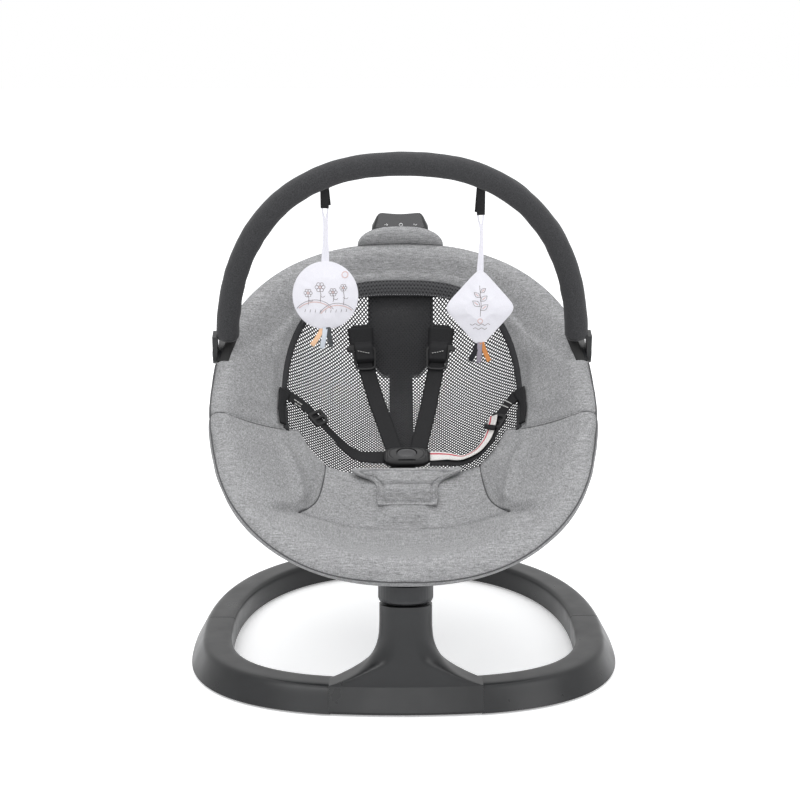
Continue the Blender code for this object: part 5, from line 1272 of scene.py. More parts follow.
def swell_pads():
    """Swell every pad by a short cloth simulation, and keep each point's move within its cap."""
    rests = []
    for part, held, cap, pressure in SWELLING:
        group = part.vertex_groups.new(name="held")
        steps = np.round(held, 1)
        for weight in np.unique(steps[steps > 0]):
            group.add(np.flatnonzero(steps == weight).tolist(), float(weight), "REPLACE")
        cloth = part.modifiers.new("swell", "CLOTH")
        for key, value in SWELL_CLOTH.items():
            setattr(cloth.settings, key, value)
        cloth.settings.uniform_pressure_force = pressure
        cloth.settings.effector_weights.gravity = 0.0
        cloth.collision_settings.use_collision = False
        cloth.point_cache.frame_start = 1
        cloth.point_cache.frame_end = SWELL_FRAMES
        rests.append(coordinates(part.data))
    scene = bpy.context.scene
    for step in range(1, SWELL_FRAMES + 1):
        scene.frame_set(step)
    graph = bpy.context.evaluated_depsgraph_get()
    swollen = [coordinates(part.evaluated_get(graph).data) for part, *_ in SWELLING]
    for (part, held, cap, _), rest, target in zip(SWELLING, rests, swollen):
        move = softened(part.data, target - rest)
        length = np.linalg.norm(move, axis=1, keepdims=True)
        move = move * np.minimum(1.0, cap / np.maximum(length, 1e-9)) * (1 - held[:, None])
        part.modifiers.remove(part.modifiers["swell"])
        part.data.vertices.foreach_set("co", (rest + move).ravel())
        part.data.update()
    scene.frame_set(1)


def softened(mesh, moves, rounds=8):
    """Even out a field of moves over a mesh, so that the swell has no lumps."""
    ends = np.empty(len(mesh.edges) * 2, int)
    mesh.edges.foreach_get("vertices", ends)
    ends = ends.reshape(-1, 2)
    degree = np.bincount(ends.ravel(), minlength=len(moves))[:, None]
    for _ in range(rounds):
        total = np.zeros_like(moves)
        np.add.at(total, ends[:, 0], moves[ends[:, 1]])
        np.add.at(total, ends[:, 1], moves[ends[:, 0]])
        moves = 0.4 * moves + 0.6 * total / degree
    return moves


def coordinates(mesh):
    spots = np.empty(len(mesh.vertices) * 3)
    mesh.vertices.foreach_get("co", spots)
    return spots.reshape(-1, 3)


def held_of(rows, cols, edge_rows, edge_cols, extra=0):
    """Hold weights for a skin: free on the top's middle, firm at its edges and all over its under face."""
    i = np.minimum(np.arange(rows), np.arange(rows)[::-1])
    j = np.minimum(np.arange(cols), np.arange(cols)[::-1])
    free = ease(0, edge_rows, i)[:, None] * ease(0, edge_cols, j)[None]
    top = 1 - free
    if extra:
        top[:, :extra] = np.maximum(top[:, :extra], (1 - ease(0, extra, np.arange(extra)))[None])
    return np.concatenate([top.ravel(), np.ones(rows * cols)])


def build_cover():
    """The padded pieces of the seat, each with what it stands for, its fill, its held edges and its cap."""
    base = COVER_CROWN + 0.0015
    cushion = pad_faces(cushion_rows(), 0.0, -COVER_EDGE, COVER_CROWN, COVER_SAG * 0.7, cushion_relief)
    crotch = pad_faces(crotch_rows(), base + 0.004, base, 0.005, 0.0, crotch_relief)
    pads = (("front_cover_pad", "cover_front", map(both_sides, front_cover_faces()), 0.5, (8, 5, 10), 0.0045),
            ("head_cover_pad", "cover_head", map(both_sides, head_cover_faces()), 0.5, (8, 5, 10), 0.0035),
            ("seat_pad", "seat_cushion", cushion, 0.6, (5, 5), 0.004),
            ("crotch_pad_cloth", "crotch_pad", crotch, 0.4, (4, 4), 0.002))
    for name, solid, faces, fill, hold, cap in pads:
        top, under = faces
        mesh = skin_mesh(to_world(top), to_world(under))
        held = held_of(*top.shape[:2], *hold)
        add_pad(name, mesh, "melange", "seat", [solid], fill, held, cap)
    mesh = tube_mesh(roll_rings())
    held = np.full(len(mesh.vertices), 0.3)
    add_pad("head_roll_pad", mesh, "melange", "seat", ["head_roll"], 0.7, held, 0.0015)


def notch_cover():
    """Openings in the head cover where the brackets stand on the rim tube."""
    cover = bpy.data.objects["head_cover_pad"]
    share = RIM.share_at(PIVOT_W)
    spot, out = RIM.place(share), RIM.outward(share)
    for side, name in SIDES:
        low, high = (-NOTCH_INWARD, -NOTCH_HALF_LENGTH, -0.03), (NOTCH_OUTWARD, NOTCH_HALF_LENGTH, 0.03)
        mesh = box_mesh(low, high)
        if side < 0:
            mesh.transform(Matrix.Scale(-1, 4, (1, 0, 0)))
            mesh.flip_normals()
        place = Matrix.Translation(to_world(np.array([side * spot[0], spot[1], 0.0])))
        place = place @ Matrix.Rotation(SEAT_SLOPE, 4, "X")
        place = place @ Matrix.Rotation(side * math.atan2(out[1], out[0]), 4, "Z")
        cut(cover, "bracket_notch_" + name, mesh, place)


def build_boots():
    """A dark moulded boot round the rim tube in each opening of the cover, under the bracket."""
    reach = NOTCH_HALF_LENGTH / RIM.length
    for side, name in SIDES:
        shares = RIM.share_at(PIVOT_W) + np.linspace(-reach, reach, 40)
        middle, out = RIM.place(shares), RIM.outward(shares)
        angles = np.linspace(BOOT_START, BOOT_END, 26)
        faces = []
        for radius in (BOOT_RADIUS, BOOT_BORE):
            spot = middle[:, None] + out[:, None] * (radius * np.cos(angles))[None, :, None]
            high = np.broadcast_to((radius * np.sin(angles))[None, :, None], spot.shape[:2] + (1,))
            faces.append(to_world(np.concatenate([spot, high], axis=-1) * (side, 1.0, 1.0)))
        boot = add("rim_boot_" + name, skin_mesh(*faces), "rubber", "seat")
        hard_edges(boot, 50.0)


def sweep_on_seat(name, path, half_width, half_height, lift):
    """A flat oval binding laid along (u, w) places on the bowl."""
    path = np.asarray(path, float)
    ahead = heading(path)
    side = np.stack([ahead[:, 1], -ahead[:, 0]], axis=-1)
    angles = round_angles(12)
    u = path[:, :1] + side[:, :1] * half_width * np.cos(angles)
    w = path[:, 1:] + side[:, 1:] * half_width * np.cos(angles)
    rings = off_bowl(u, w, lift + half_height * np.sin(angles)[None] * np.ones(u.shape))
    add(name, tube_mesh(to_world(rings)), "binding", "seat")


def build_binding():
    """Black binding round the mesh window, its double top band and the light stitch under it."""
    edge = window_edge(150)
    along = heading(edge)
    inward = np.stack([-along[:, 1], along[:, 0]], axis=-1)
    line = edge + inward * BINDING_INSET
    line[-1, 0] = 0.0
    arch = np.vstack([line, (line[:-1] * (-1.0, 1.0))[::-1]])
    sweep_on_seat("window_binding", arch, BINDING_HALF_WIDTH, BINDING_HALF_HEIGHT, -BINDING_SINK)
    us = np.linspace(-BAND_REACH, BAND_REACH, 121)
    upper = np.interp(np.abs(us), edge[::-1, 0], edge[::-1, 1]) + 0.0006
    depth = BAND_END_DEPTH + BAND_EXTRA_DEPTH * (1 - ease(0.070, BAND_REACH, np.abs(us)))
    lower = upper - depth
    share = np.linspace(0.0, 1.0, 14)
    u = np.broadcast_to(us[:, None], (121, 14))
    w = upper[:, None] + (lower - upper)[:, None] * share[None]
    swell = 0.0014 * (1 - np.abs(2 * share - 1) ** 2)[None] + soft_noise(u, w, 0.012, 41) * 0.0002
    top = off_bowl(u, w, BAND_LIFT + swell)
    under = off_bowl(u, w, -BAND_UNDER)
    add("window_top_band", skin_mesh(to_world(top), to_world(under)), "band", "seat")
    stitches(np.column_stack([us, lower + 0.0012])[4:-4], "band_stitches", *BAND_STITCH, 0.0021,
             "grey_thread", "white_tape")


def stitches(path, name, pitch, length, radius, lift, look, slot):
    """A row of separate thread stitches along (u, w) places on the bowl, as one piece."""
    path = np.asarray(path, float)
    total = float(np.linalg.norm(np.diff(path, axis=0), axis=1).sum())
    count = max(int(total / pitch), 1)
    fine = even(path, count * 8 + 1)
    curve = stroke_curve(radius, 1)
    curve.use_fill_caps = True
    share = length / pitch
    for k in range(count):
        chosen = fine[k * 8:k * 8 + 1 + max(int(round(8 * share)), 2)]
        add_stroke(curve, to_world(off_bowl(chosen[:, 0], chosen[:, 1], lift)))
    add(name, curve, look, "seat")


def build_seams():
    """Piping along the rim, cords sunk in the seams of the cover (the dark crease cords are painted crease
    shade), and the sewn line of the cushion.
    """
    graph = bpy.context.evaluated_depsgraph_get()
    covers = [BVHTree.FromObject(bpy.data.objects[name], graph)
              for name in ("front_cover_pad", "head_cover_pad")]
    seam = RIM.share_at(WING_SEAM_W)
    end = RIM.share_at(PIVOT_W) - (NOTCH_HALF_LENGTH + 0.0015) / RIM.length
    shares = np.linspace(-end, end, 300)
    middle, out = RIM.place(shares), RIM.outward(shares)
    angle = mix(PIPING_FRONT_ANGLE, PIPING_SIDE_ANGLE, out[:, 0] ** 2)
    away = np.column_stack([out * np.cos(angle)[:, None], np.sin(angle)])
    centre = np.column_stack([middle, np.zeros(len(shares))])
    stand = []
    for share, spot, ray in zip(shares, centre, away):
        start, goal = to_world(spot + ray * 0.06), to_world(spot)
        tree = covers[0] if abs(share) < seam else covers[1]
        hit, _, _, gap = tree.ray_cast(Vector(start), Vector(goal - start).normalized())
        stand.append(max(0.06 - gap, ROLL_RADIUS * 0.95) if hit else ROLL_RADIUS)
    stand = np.array(stand)
    stand[1:-1] = np.maximum(np.maximum(stand[:-2], stand[2:]), stand[1:-1])
    for _ in range(3):
        stand[1:-1] = (stand[:-2] + 2 * stand[1:-1] + stand[2:]) / 4
    spots = to_world(centre + away * (stand + PIPING_PROUD)[:, None])
    add("rim_piping", cord_mesh(spots, PIPING_RADIUS), "piping", "seat")
    crease = np.vstack([spline(np.array(CREASE)[2:], 40), [(CUSHION_FRONT_HALF, CUSHION_FRONT_W)]])
    for side, name in SIDES:
        route = even(crease, 60) * (side, 1.0)
        # The crease cord's dark piping colour is painted shade along the crease between the pads
        lay_cord("crease_cord_" + name, route, *CREASE_SHADE_CORD, "piping")
        route = even(np.array([crest_at(seam), WING_SEAM_INNER]), 40) * (side, 1.0)
        lay_cord("wing_seam_cord_" + name, route, *WING_CORD, "melange")
    u = np.linspace(-CUSHION_FRONT_HALF, CUSHION_FRONT_HALF, 90)
    front = np.column_stack([u, CUSHION_FRONT_W + CUSHION_FRONT_BOW * (1 - (u / CUSHION_FRONT_HALF) ** 2)])
    lay_cord("front_seam_cord", front, *FRONT_CORD, "melange")
    stitches(front + (0.0, 0.0042), "front_seam_stitches", *SEAM_STITCH, 0.0012, "grey_thread",
             "grey_melange")


def cord_mesh(spots, radius):
    """A round cord along world places."""
    ahead = heading(spots)
    side = unit(np.cross(ahead, (0.0, -0.5, 0.866)))
    high = np.cross(side, ahead)
    angles = round_angles(10)
    rings = (spots[:, None] + side[:, None] * (radius * np.cos(angles))[None, :, None]
             + high[:, None] * (radius * np.sin(angles))[None, :, None])
    return tube_mesh(rings)


def lay_cord(name, route, radius, lift, look):
    spots = to_world(off_bowl(route[:, 0], route[:, 1], lift))
    add(name, cord_mesh(spots, radius), look, "seat")


# Knit back

def knit_inside(u, w):
    """Whether a place lies in the window, with the margin that is tucked under the pads."""
    side = np.abs(u)
    rise = np.clip(w - WINDOW_MIDDLE_W, 0.0, None) / (WINDOW_RISE + MESH_MARGIN)
    arch = (side / (WINDOW_HALF_WIDTH + MESH_MARGIN)) ** WINDOW_POWER + rise ** WINDOW_POWER < 1.0
    half = np.interp(w, [k[1] for k in KNIT_SIDE], [k[0] for k in KNIT_SIDE]) + MESH_MARGIN
    return arch & (side < half) & (w > WINDOW_LOW_W - 0.003)


def build_knit():
    i, j = np.meshgrid(np.arange(-40, 41), np.arange(0, 300), indexing="ij")
    u = (i + (j % 2) / 2).ravel() * KNIT_PITCH
    w = j.ravel() * KNIT_PITCH / 2
    keep = knit_inside(u, w)
    u, w = u[keep], w[keep]
    corners = np.array([(0.5, 0.0), (0.0, 0.5), (-0.5, 0.0), (0.0, -0.5)]) * KNIT_PITCH
    outer = np.stack([u, w], axis=-1)[:, None] + corners[None]
    keys = np.round(outer * 4 / KNIT_PITCH).astype(int).reshape(-1, 2)
    joints, place = np.unique(keys, axis=0, return_inverse=True)
    place = place.reshape(-1, 4)
    holes = np.stack([u, w], axis=-1)[:, None] + corners[None] * KNIT_HOLE
    flat = np.vstack([joints * KNIT_PITCH / 4, holes.reshape(-1, 2)])
    first = len(joints) + 4 * np.arange(len(u))
    faces = []
    for k in range(4):
        after = (k + 1) % 4
        faces.append(np.stack([place[:, k], place[:, after], first + after, first + k], axis=-1))
    spots = to_world(off_bowl(flat[:, 0], flat[:, 1], -COVER_EDGE - MESH_DROP))
    mesh = mesh_of(spots, np.concatenate(faces))
    knit = add("knit_back", mesh, "knit", "seat", ["mesh_panel"])
    thicken(knit, "thickness", KNIT_THICKNESS)


def build_hem():
    """Flat tape sewn round the knit's cut edge, under the pads."""
    angles = np.linspace(0.0, math.pi / 2, 60)
    arch = superellipse(angles, WINDOW_HALF_WIDTH, WINDOW_RISE, WINDOW_POWER) + (0.0, WINDOW_MIDDLE_W)
    half = np.vstack([[(0.0, WINDOW_LOW_W + 0.001)], KNIT_SIDE, arch[1:]])
    half = even(half, 160)
    along = heading(half)
    half = half + np.stack([along[:, 1], -along[:, 0]], axis=-1) * HEM_OUTWARD
    half[[0, -1], 0] = 0.0
    route = np.vstack([half, (half[:-1] * (-1.0, 1.0))[::-1]])
    sweep_on_seat("knit_hem", route, HEM_HALF_WIDTH, HEM_HALF_HEIGHT, -COVER_EDGE - HEM_SINK)


# Harness

def tape_mesh(spots, normals, sides, widths, thickness):
    """A flat woven tape along a route, with a map of its own length and width."""
    rows = []
    across = np.linspace(-0.5, 0.5, 9)
    edge = np.array([0.5] + [1.0] * 7 + [0.5])
    for level in (1.0, -1.0):
        row = (spots[:, None] + sides[:, None] * (widths[:, None] * across)[..., None]
               + normals[:, None] * (level * thickness / 2 * edge)[None, :, None])
        rows.append(row)
    mesh = skin_mesh(*rows)
    reach = np.concatenate([[0.0], np.cumsum(np.linalg.norm(np.diff(spots, axis=0), axis=1))])
    along_map = np.concatenate([np.repeat(reach, 9)] * 2)
    across_map = np.concatenate([np.tile(across + 0.5, len(spots))] * 2)
    layer = mesh.uv_layers.new(name="tape")
    for loop in mesh.loops:
        layer.data[loop.index].uv = (along_map[loop.vertex_index], across_map[loop.vertex_index])
    return mesh


def strap(name, route, width, lift, cloth="webbing", nodes=(), thickness=STRAP_THICKNESS, twist=0.0):
    """A tape laid over the bowl along (u, w) places; lift may differ along it, and twist turns it."""
    route = np.asarray(route, float)
    count = len(route)
    lift = np.broadcast_to(lift, (count,)) + thickness / 2
    middle = off_bowl(route[:, 0], route[:, 1], lift)
    normal = bowl_normal(route[:, 0], route[:, 1])
    ahead = heading(middle)
    side = unit(np.cross(ahead, normal))
    angle = np.broadcast_to(twist, (count,))[:, None]
    side, normal = (side * np.cos(angle) + normal * np.sin(angle),
                    normal * np.cos(angle) - side * np.sin(angle))
    turn = np.array(Matrix.Rotation(SEAT_SLOPE, 3, "X"))
    mesh = tape_mesh(to_world(middle), normal @ turn.T, side @ turn.T, np.broadcast_to(width, (count,)),
                     thickness)
    add(name, mesh, cloth, "seat", nodes)


def slide_place(u, w, turn, lift):
    """A frame that lies on the bowl, turned in it."""
    normal = Vector(bowl_normal(np.array(u), np.array(w)))
    lay = Vector((0, 0, 1)).rotation_difference(normal).to_matrix().to_4x4()
    spot = to_world(off_bowl(np.array(u), np.array(w), lift))
    lean = Matrix.Translation(spot) @ Matrix.Rotation(SEAT_SLOPE, 4, "X")
    return lean @ lay @ Matrix.Rotation(turn, 4, "Z")


def rounded(points):
    """A closed outline with its corners cut round."""
    points = np.asarray(points, float)
    for _ in range(2):
        after = np.roll(points, -1, axis=0)
        pairs = [points * 0.82 + after * 0.18, points * 0.18 + after * 0.82]
        points = np.stack(pairs, axis=1).reshape(-1, 2)
    return points


def plate_curve(outlines, thickness, bevel):
    """A flat plate with bevelled edges inside its first outline, with the others as holes."""
    curve = bpy.data.curves.new("plate", "CURVE")
    curve.dimensions = "2D"
    curve.fill_mode = "BOTH"
    curve.extrude = thickness / 2 - bevel
    curve.bevel_depth = bevel
    curve.bevel_resolution = 3
    curve.offset = -bevel
    for outline in outlines:
        add_stroke(curve, [(x, y, 0.0) for x, y in outline], closed=True)
    return curve


def slide(name, spot, turn, lift, half_length, top_half, low_half, bar, hook, nodes):
    """A ladder-lock slide: a tapering frame with two slots, and a finger on one side when hook is set."""
    outer = [(-low_half, -half_length), (low_half, -half_length), (top_half, half_length * 0.45),
             (top_half, half_length), (-top_half, half_length), (-top_half, half_length * 0.45)]
    if hook:
        finger = [(top_half, half_length * 0.72), (top_half + 0.0040, half_length * 0.60),
                  (top_half + 0.0085, half_length * 0.72), (top_half + 0.0080, half_length * 1.02),
                  (top_half + 0.0020, half_length * 1.18)]
        outer = outer[:3] + finger + outer[4:]
        outer = [(hook * x, y) for x, y in outer][::hook]
    slots = []
    for low, high in ((-half_length + bar, -bar * 0.4), (bar * 0.4, half_length - bar)):
        wide_low = mix(low_half, top_half, (low + half_length) / (2 * half_length)) - bar
        wide_high = mix(low_half, top_half, (high + half_length) / (2 * half_length)) - bar
        slots.append(rounded([(-wide_low, low), (-wide_high, high), (wide_high, high), (wide_low, low)]))
    plate = plate_curve([rounded(outer)] + slots, SLIDE_THICKNESS, SLIDE_BEVEL)
    part = add(name, plate, "buckle", "seat", nodes)
    part.matrix_world = slide_place(*spot, turn, lift + SLIDE_THICKNESS / 2)


def build_straps():
    """Shoulder tapes with their tabs and slides, the waist tapes and the crotch tape."""
    base = LIFT_ON_MESH - 0.0005
    for side, name in SIDES:
        high, low = (side * SHOULDER_TOP_U, SHOULDER_TOP_W), (side * SLIDE_U, ADJUSTER_W)
        foot = (BUCKLE_U + side * 0.0165, BUCKLE_W + BUCKLE_LENGTH / 2 - 0.004)
        between = [tuple(mix(np.array(low), np.array(foot), share)) for share in (0.34, 0.7)]
        t = np.linspace(0.0, 1.0, 70)
        lift = base + 0.0030 * np.sin(math.pi * t) + (0.0016 if side > 0 else 0.0) * t ** 4
        strap("shoulder_tape_" + name, smooth_route([high, low, *between, foot], 70), STRAP_WIDTH, lift,
              nodes=["shoulder_strap_" + name])
        tab = [(side * 0.063, SHOULDER_TOP_W - 0.004), (side * 0.060, SHOULDER_TOP_W - 0.030)]
        strap("shoulder_tab_" + name, smooth_route(tab, 14), np.linspace(*TAB_WIDTHS, 14), base + 0.001,
              thickness=TAB_THICKNESS)
        neck = [(side * 0.060, SHOULDER_TOP_W - 0.022), (side * 0.0562, ADJUSTER_W - 0.0065)]
        t = np.linspace(0.0, 1.0, 24)
        lift = base + mix(0.0030, 0.0086, ease(0.0, 0.35, t)) - 0.0045 * ease(0.88, 1.0, t)
        strap("shoulder_neck_" + name, smooth_route(neck, 24), NECK_WIDTH, lift, thickness=FOLD_THICKNESS)
        row = ADJUSTER_W + 0.0065
        stitches([(side * 0.059 - 0.0100, row), (side * 0.059 + 0.0100, row)], "tab_stitch_" + name,
                 *TAB_STITCH, base + 0.0112, "thread", "white_tape")
        slide("shoulder_slide_" + name, (side * SLIDE_U, ADJUSTER_W - 0.001), side * SLIDE_TURN,
              base + 0.0035, *SHOULDER_SLIDE, side, ["shoulder_adjuster_" + name])
    build_waist(base)
    crotch = [(BUCKLE_U, BUCKLE_W - BUCKLE_LENGTH / 2 + 0.004), (BUCKLE_U, 0.4329 * RIM_LENGTH)]
    strap("crotch_tape", smooth_route(crotch, 12), STRAP_WIDTH, 0.0025, nodes=["crotch_strap"])


def build_waist(base):
    """Waist tapes from the buckle to the side anchors, with the striped tape on the right."""
    t = np.linspace(0.0, 1.0, 80)
    lift = base + 0.0035 * np.sin(math.pi * t)
    width = mix(0.0245, 0.0215, ease(0.15, 0.5, t))
    sides = ((1, "right", WAIST_RIGHT, WAIST_SLIDE_RIGHT, math.radians(-38), WAIST_BARS_RIGHT),
             (-1, "left", WAIST_LEFT, WAIST_SLIDE_LEFT, math.radians(47), WAIST_BARS_LEFT))
    for side, name, chain, spot, turn, bars in sides:
        twist = side * (0.30 * np.sin(math.pi * t) ** 2 + 0.05)
        strap("waist_tape_" + name, smooth_route(chain, 80), width, lift, nodes=["waist_strap_" + name],
              twist=twist)
        slide("waist_slide_" + name, spot, turn, base + 0.0032, *WAIST_SLIDE, 0, ["waist_adjuster_" + name])
        anchor = smooth_route([(side * u, share * RIM_LENGTH) for u, share in ANCHOR_SHARES], 30)
        flare = mix(0.0105, 0.0200, ease(0.55, 1.0, np.linspace(0.0, 1.0, 30)))
        strap("anchor_tape_" + name, anchor, flare, 0.0045, nodes=["side_anchor_" + name],
              thickness=ANCHOR_THICKNESS)
        for k, bar in enumerate(bars):
            stitches(bar, f"waist_stitch_{name}_{k}", *WAIST_STITCH, base + 0.0094 + 0.0015 * k, "thread",
                     "white_tape")
    build_striped_tape(base)


def build_striped_tape(base):
    """White tape with a red stripe on the right waist tape, its folded end held by a keeper."""
    t = np.linspace(0.0, 1.0, 70)
    width = mix(0.0180, 0.0142, ease(0.0, 0.4, t)) * (1 - 0.22 * bell(t, 0.50, 0.12))
    lift = base + 0.0035 * np.sin(math.pi * t * 0.7) + 0.0026
    strap("striped_tape", smooth_route(STRIPED_RIGHT, 70), width, lift, "white_tape",
          twist=0.30 * np.sin(math.pi * t) ** 2)
    t = np.linspace(0.0, 1.0, 16)
    strap("striped_tape_end", smooth_route(STRIPED_END, 16), mix(0.0150, 0.0175, t),
          base + 0.0062 + 0.0035 * t, "white_tape", twist=0.25 * t)
    strap("striped_tape_keeper", smooth_route(STRIPED_KEEPER, 12), KEEPER_WIDTH, base + 0.0088,
          thickness=FOLD_THICKNESS)


def build_buckle():
    """Centre buckle: domed body with panel lines, an oval pocket, a slot and a tick, as one height field."""
    half_x, half_y = BUCKLE_WIDTH / 2, BUCKLE_LENGTH / 2
    radii = np.linspace(0.0, 1.0, 60)[1:] ** 0.9
    angles = round_angles(160)
    outline = superellipse(angles, 1.0, 1.0, 3.2)
    rings = []
    for r in radii:
        x, y = outline[:, 0] * r * half_x, outline[:, 1] * r * half_y
        z = BUCKLE_HEIGHT - 0.0042 * r ** 7 - 0.0010 * (y / half_y) ** 2
        z = z - bell(np.hypot(x * 0.60, y - 0.001), 0.0158, 0.0006) * 0.0007 * ease(0.018, 0.021, np.abs(x))
        z = z - bell(np.abs(x), 0.0285, 0.0005) * 0.0006
        pocket = np.hypot(x / (BUTTON_HALF_WIDTH + 0.0006), (y - BUTTON_OFF) / (BUTTON_HALF_LENGTH + 0.0006))
        z = z - 0.0042 * (1 - ease(0.93, 1.0, pocket))
        slot = (1 - ease(0.0120, 0.0132, np.abs(x))) * (1 - ease(0.0007, 0.0013, np.abs(y + 0.0122)))
        z = z - 0.0022 * slot
        tick = (1 - ease(0.0003, 0.0007, np.abs(x))) * (1 - ease(0.0009, 0.0014, np.abs(y - 0.0142)))
        z = z - 0.0007 * tick
        rings.append(np.stack([x, y, z], axis=-1))
    for inset, height in ((-0.0006, 0.0075), (-0.0008, 0.0045), (0.0004, 0.0015), (0.003, 0.0)):
        x, y = outline[:, 0] * (half_x - inset - 0.0006), outline[:, 1] * (half_y - inset - 0.0006)
        rings.append(np.stack([x, y, np.full(len(x), height)], axis=-1))
    level = float(BOWL(np.array(BUCKLE_U), np.array(BUCKLE_W))) + 0.002
    spot = to_world(np.array([BUCKLE_U, BUCKLE_W, level]))
    place = Matrix.Translation(spot) @ Matrix.Rotation(SEAT_SLOPE, 4, "X")
    body = add("buckle_shell", tube_mesh(rings), "buckle", "seat", ["buckle_body"])
    body.data.transform(place)
    hard_edges(body, 60.0)
    rings = []
    oval = superellipse(angles, BUTTON_HALF_WIDTH, BUTTON_HALF_LENGTH, 2.0)
    for r in np.linspace(0.0, 1.0, 20)[1:]:
        x, y = (oval * r).T
        z = BUCKLE_HEIGHT - 0.0012 - 0.0016 * np.clip(1 - ((y + 0.010) / 0.016) ** 2, 0, 1) - 0.0006 * r ** 8
        rings.append(np.stack([x, y + BUTTON_OFF, z], axis=-1))
    x, y = oval.T
    rings.append(np.stack([x, y + BUTTON_OFF, np.full(len(x), BUCKLE_HEIGHT - 0.0045)], axis=-1))
    button = add("release_button", tube_mesh(rings), "panel", "button", ["buckle_button"])
    button.data.transform(place)
    hard_edges(button, 50.0)


# Toy bar and toys

def pivot_point():
    return to_world(np.array([0.0, PIVOT_W, 0.0]))


def bar_point(x, rise, forward=0.0):
    """World places in the leaning plane of the toy bar."""
    up = np.array([0.0, -math.sin(BAR_LEAN), math.cos(BAR_LEAN)])
    front = np.array([0.0, -math.cos(BAR_LEAN), -math.sin(BAR_LEAN)])
    x, rise, forward = np.broadcast_arrays(x, rise, forward)
    return (pivot_point() + x[..., None] * np.array([1.0, 0.0, 0.0]) + rise[..., None] * up
            + forward[..., None] * front)


def bar_path():
    """Middle line of the sleeve and the way walked along it, with more places near its hems."""
    fine = superellipse(np.linspace(0.0, math.pi, 721), BAR_HALF_WIDTH, BAR_RISE, BAR_POWER)
    fine = fine[fine[:, 1] >= SLEEVE_HEM]
    fine = np.vstack([[(BAR_HALF_WIDTH, SLEEVE_HEM)], fine, [(-BAR_HALF_WIDTH, SLEEVE_HEM)]])
    length = path_length(fine)
    hem = np.linspace(0.0, 1.5 * HEM_TAPER, 10)
    walked = np.concatenate([hem, np.linspace(hem[-1], length - hem[-1], 212)[1:-1], length - hem[::-1]])
    return even(fine, 0, walked), walked


def build_sleeve():
    path, walked = bar_path()
    along = heading(path)
    along[0], along[-1] = (0.0, 1.0), (0.0, -1.0)
    out = np.stack([along[:, 1], -along[:, 0]], axis=-1)
    off_end = np.minimum(walked, walked[-1] - walked)
    taper = np.clip(1 - off_end / HEM_TAPER, 0.0, 1.0) ** 1.5
    size = mix(SLEEVE_RADIUS, HEM_RADIUS, taper)
    angles = round_angles(48)
    walk = walked[:, None] + 0 * angles[None]
    loose = soft_noise(walk, angles[None] * 0.02 + 0 * walk, 0.028, 51) * 0.00050
    loose += soft_noise(walk, angles[None] * 0.03 + 0 * walk, 0.009, 52) * 0.00016
    seam = bell(np.abs(np.angle(np.exp(1j * (angles - math.pi)))), 0.0, 0.07)
    radius = size[:, None] + loose * (1 - taper[:, None]) - 0.0009 * seam[None]
    x = path[:, :1] + out[:, :1] * radius * np.cos(angles)
    rise = path[:, 1:] + out[:, 1:] * radius * np.cos(angles)
    rings = bar_point(x, rise, radius * np.sin(angles))
    mesh = tube_mesh(rings)
    held = np.full(len(mesh.vertices), 0.2)
    add_pad("bar_sleeve_pad", mesh, "sleeve", "toy_bar", ["bar_sleeve"], 0.8, held, 0.0008,
            pressure=2.0)


def toy_hinge(side):
    """Middle of the sleeve above a toy, and the foot of its loop, where the toy hangs."""
    rise = BAR_RISE * (1 - (TOY_X / BAR_HALF_WIDTH) ** BAR_POWER) ** (1 / BAR_POWER)
    middle = bar_point(np.array(side * TOY_X), np.array(rise))
    drop = RIGHT_LOOP_DROP if side > 0 else LEFT_LOOP_DROP
    return middle, middle - np.array([0.0, 0.0, SLEEVE_RADIUS + drop])


def build_loop(side, name):
    """A doubled webbing tab sewn under the sleeve: two layers, a little turned and apart at the foot."""
    middle, foot = toy_hinge(side)
    slope = BAR_RISE / BAR_HALF_WIDTH * (TOY_X / BAR_HALF_WIDTH) ** (BAR_POWER - 1)
    slope *= (1 - (TOY_X / BAR_HALF_WIDTH) ** BAR_POWER) ** (1 / BAR_POWER - 1)
    under = SLEEVE_RADIUS / math.cos(math.atan(slope))
    drop = middle[2] - foot[2]
    t = np.linspace(0.0, 1.0, 24)
    for layer, share in (("front", 1.0), ("back", -1.0)):
        half_gap = (LOOP_THICKNESS + LOOP_FOLD) / 2
        depth = -share * half_gap * np.ones(24)
        reach = drop if share > 0 else drop - 0.0035
        rise = mix(-under + 0.0045, -reach, t)
        sway = (0.0 if share > 0 else -side * 0.0028) * t
        spots = middle + np.column_stack([sway, depth, rise])
        angle = side * (0.30 if share > 0 else -0.20) * t
        hanging_tape(f"hang_loop_{name}_{layer}", spots, np.full(24, LOOP_WIDTH), "webbing", "toy_bar",
                     ["toy_loop_" + name] if share > 0 else (), angle, LOOP_THICKNESS)


def hanging_tape(name, spots, widths, look, body, nodes, turn, thickness=TAIL_THICKNESS):
    """A ribbon that faces the viewer; turn twists it about its own length."""
    spots = np.asarray(spots, float)
    count = len(spots)
    ahead = heading(spots)
    angle = np.broadcast_to(turn, (count,))
    side = np.stack([np.cos(angle), np.sin(angle), np.zeros(count)], axis=-1)
    side = unit(side - ahead * np.sum(side * ahead, axis=1, keepdims=True))
    normals = np.cross(ahead, side)
    mesh = tape_mesh(spots, normals, side, np.asarray(widths, float), thickness)
    add(name, mesh, look, body, nodes)


def pillow_faces(outline, thickness):
    """Front and back rings of a crowned fabric toy that share their sewn rim."""
    rings = []
    for face, order in ((1.0, PILLOW_RADII), (-1.0, PILLOW_RADII[-2::-1])):
        for r in order:
            crown = thickness / 2 * (1 - r ** 2.6) ** 0.62
            depth = np.full(OUTLINE_PLACES, -face * crown)
            rings.append(np.column_stack([outline[:, 0] * r, depth, outline[:, 1] * r]))
    return rings


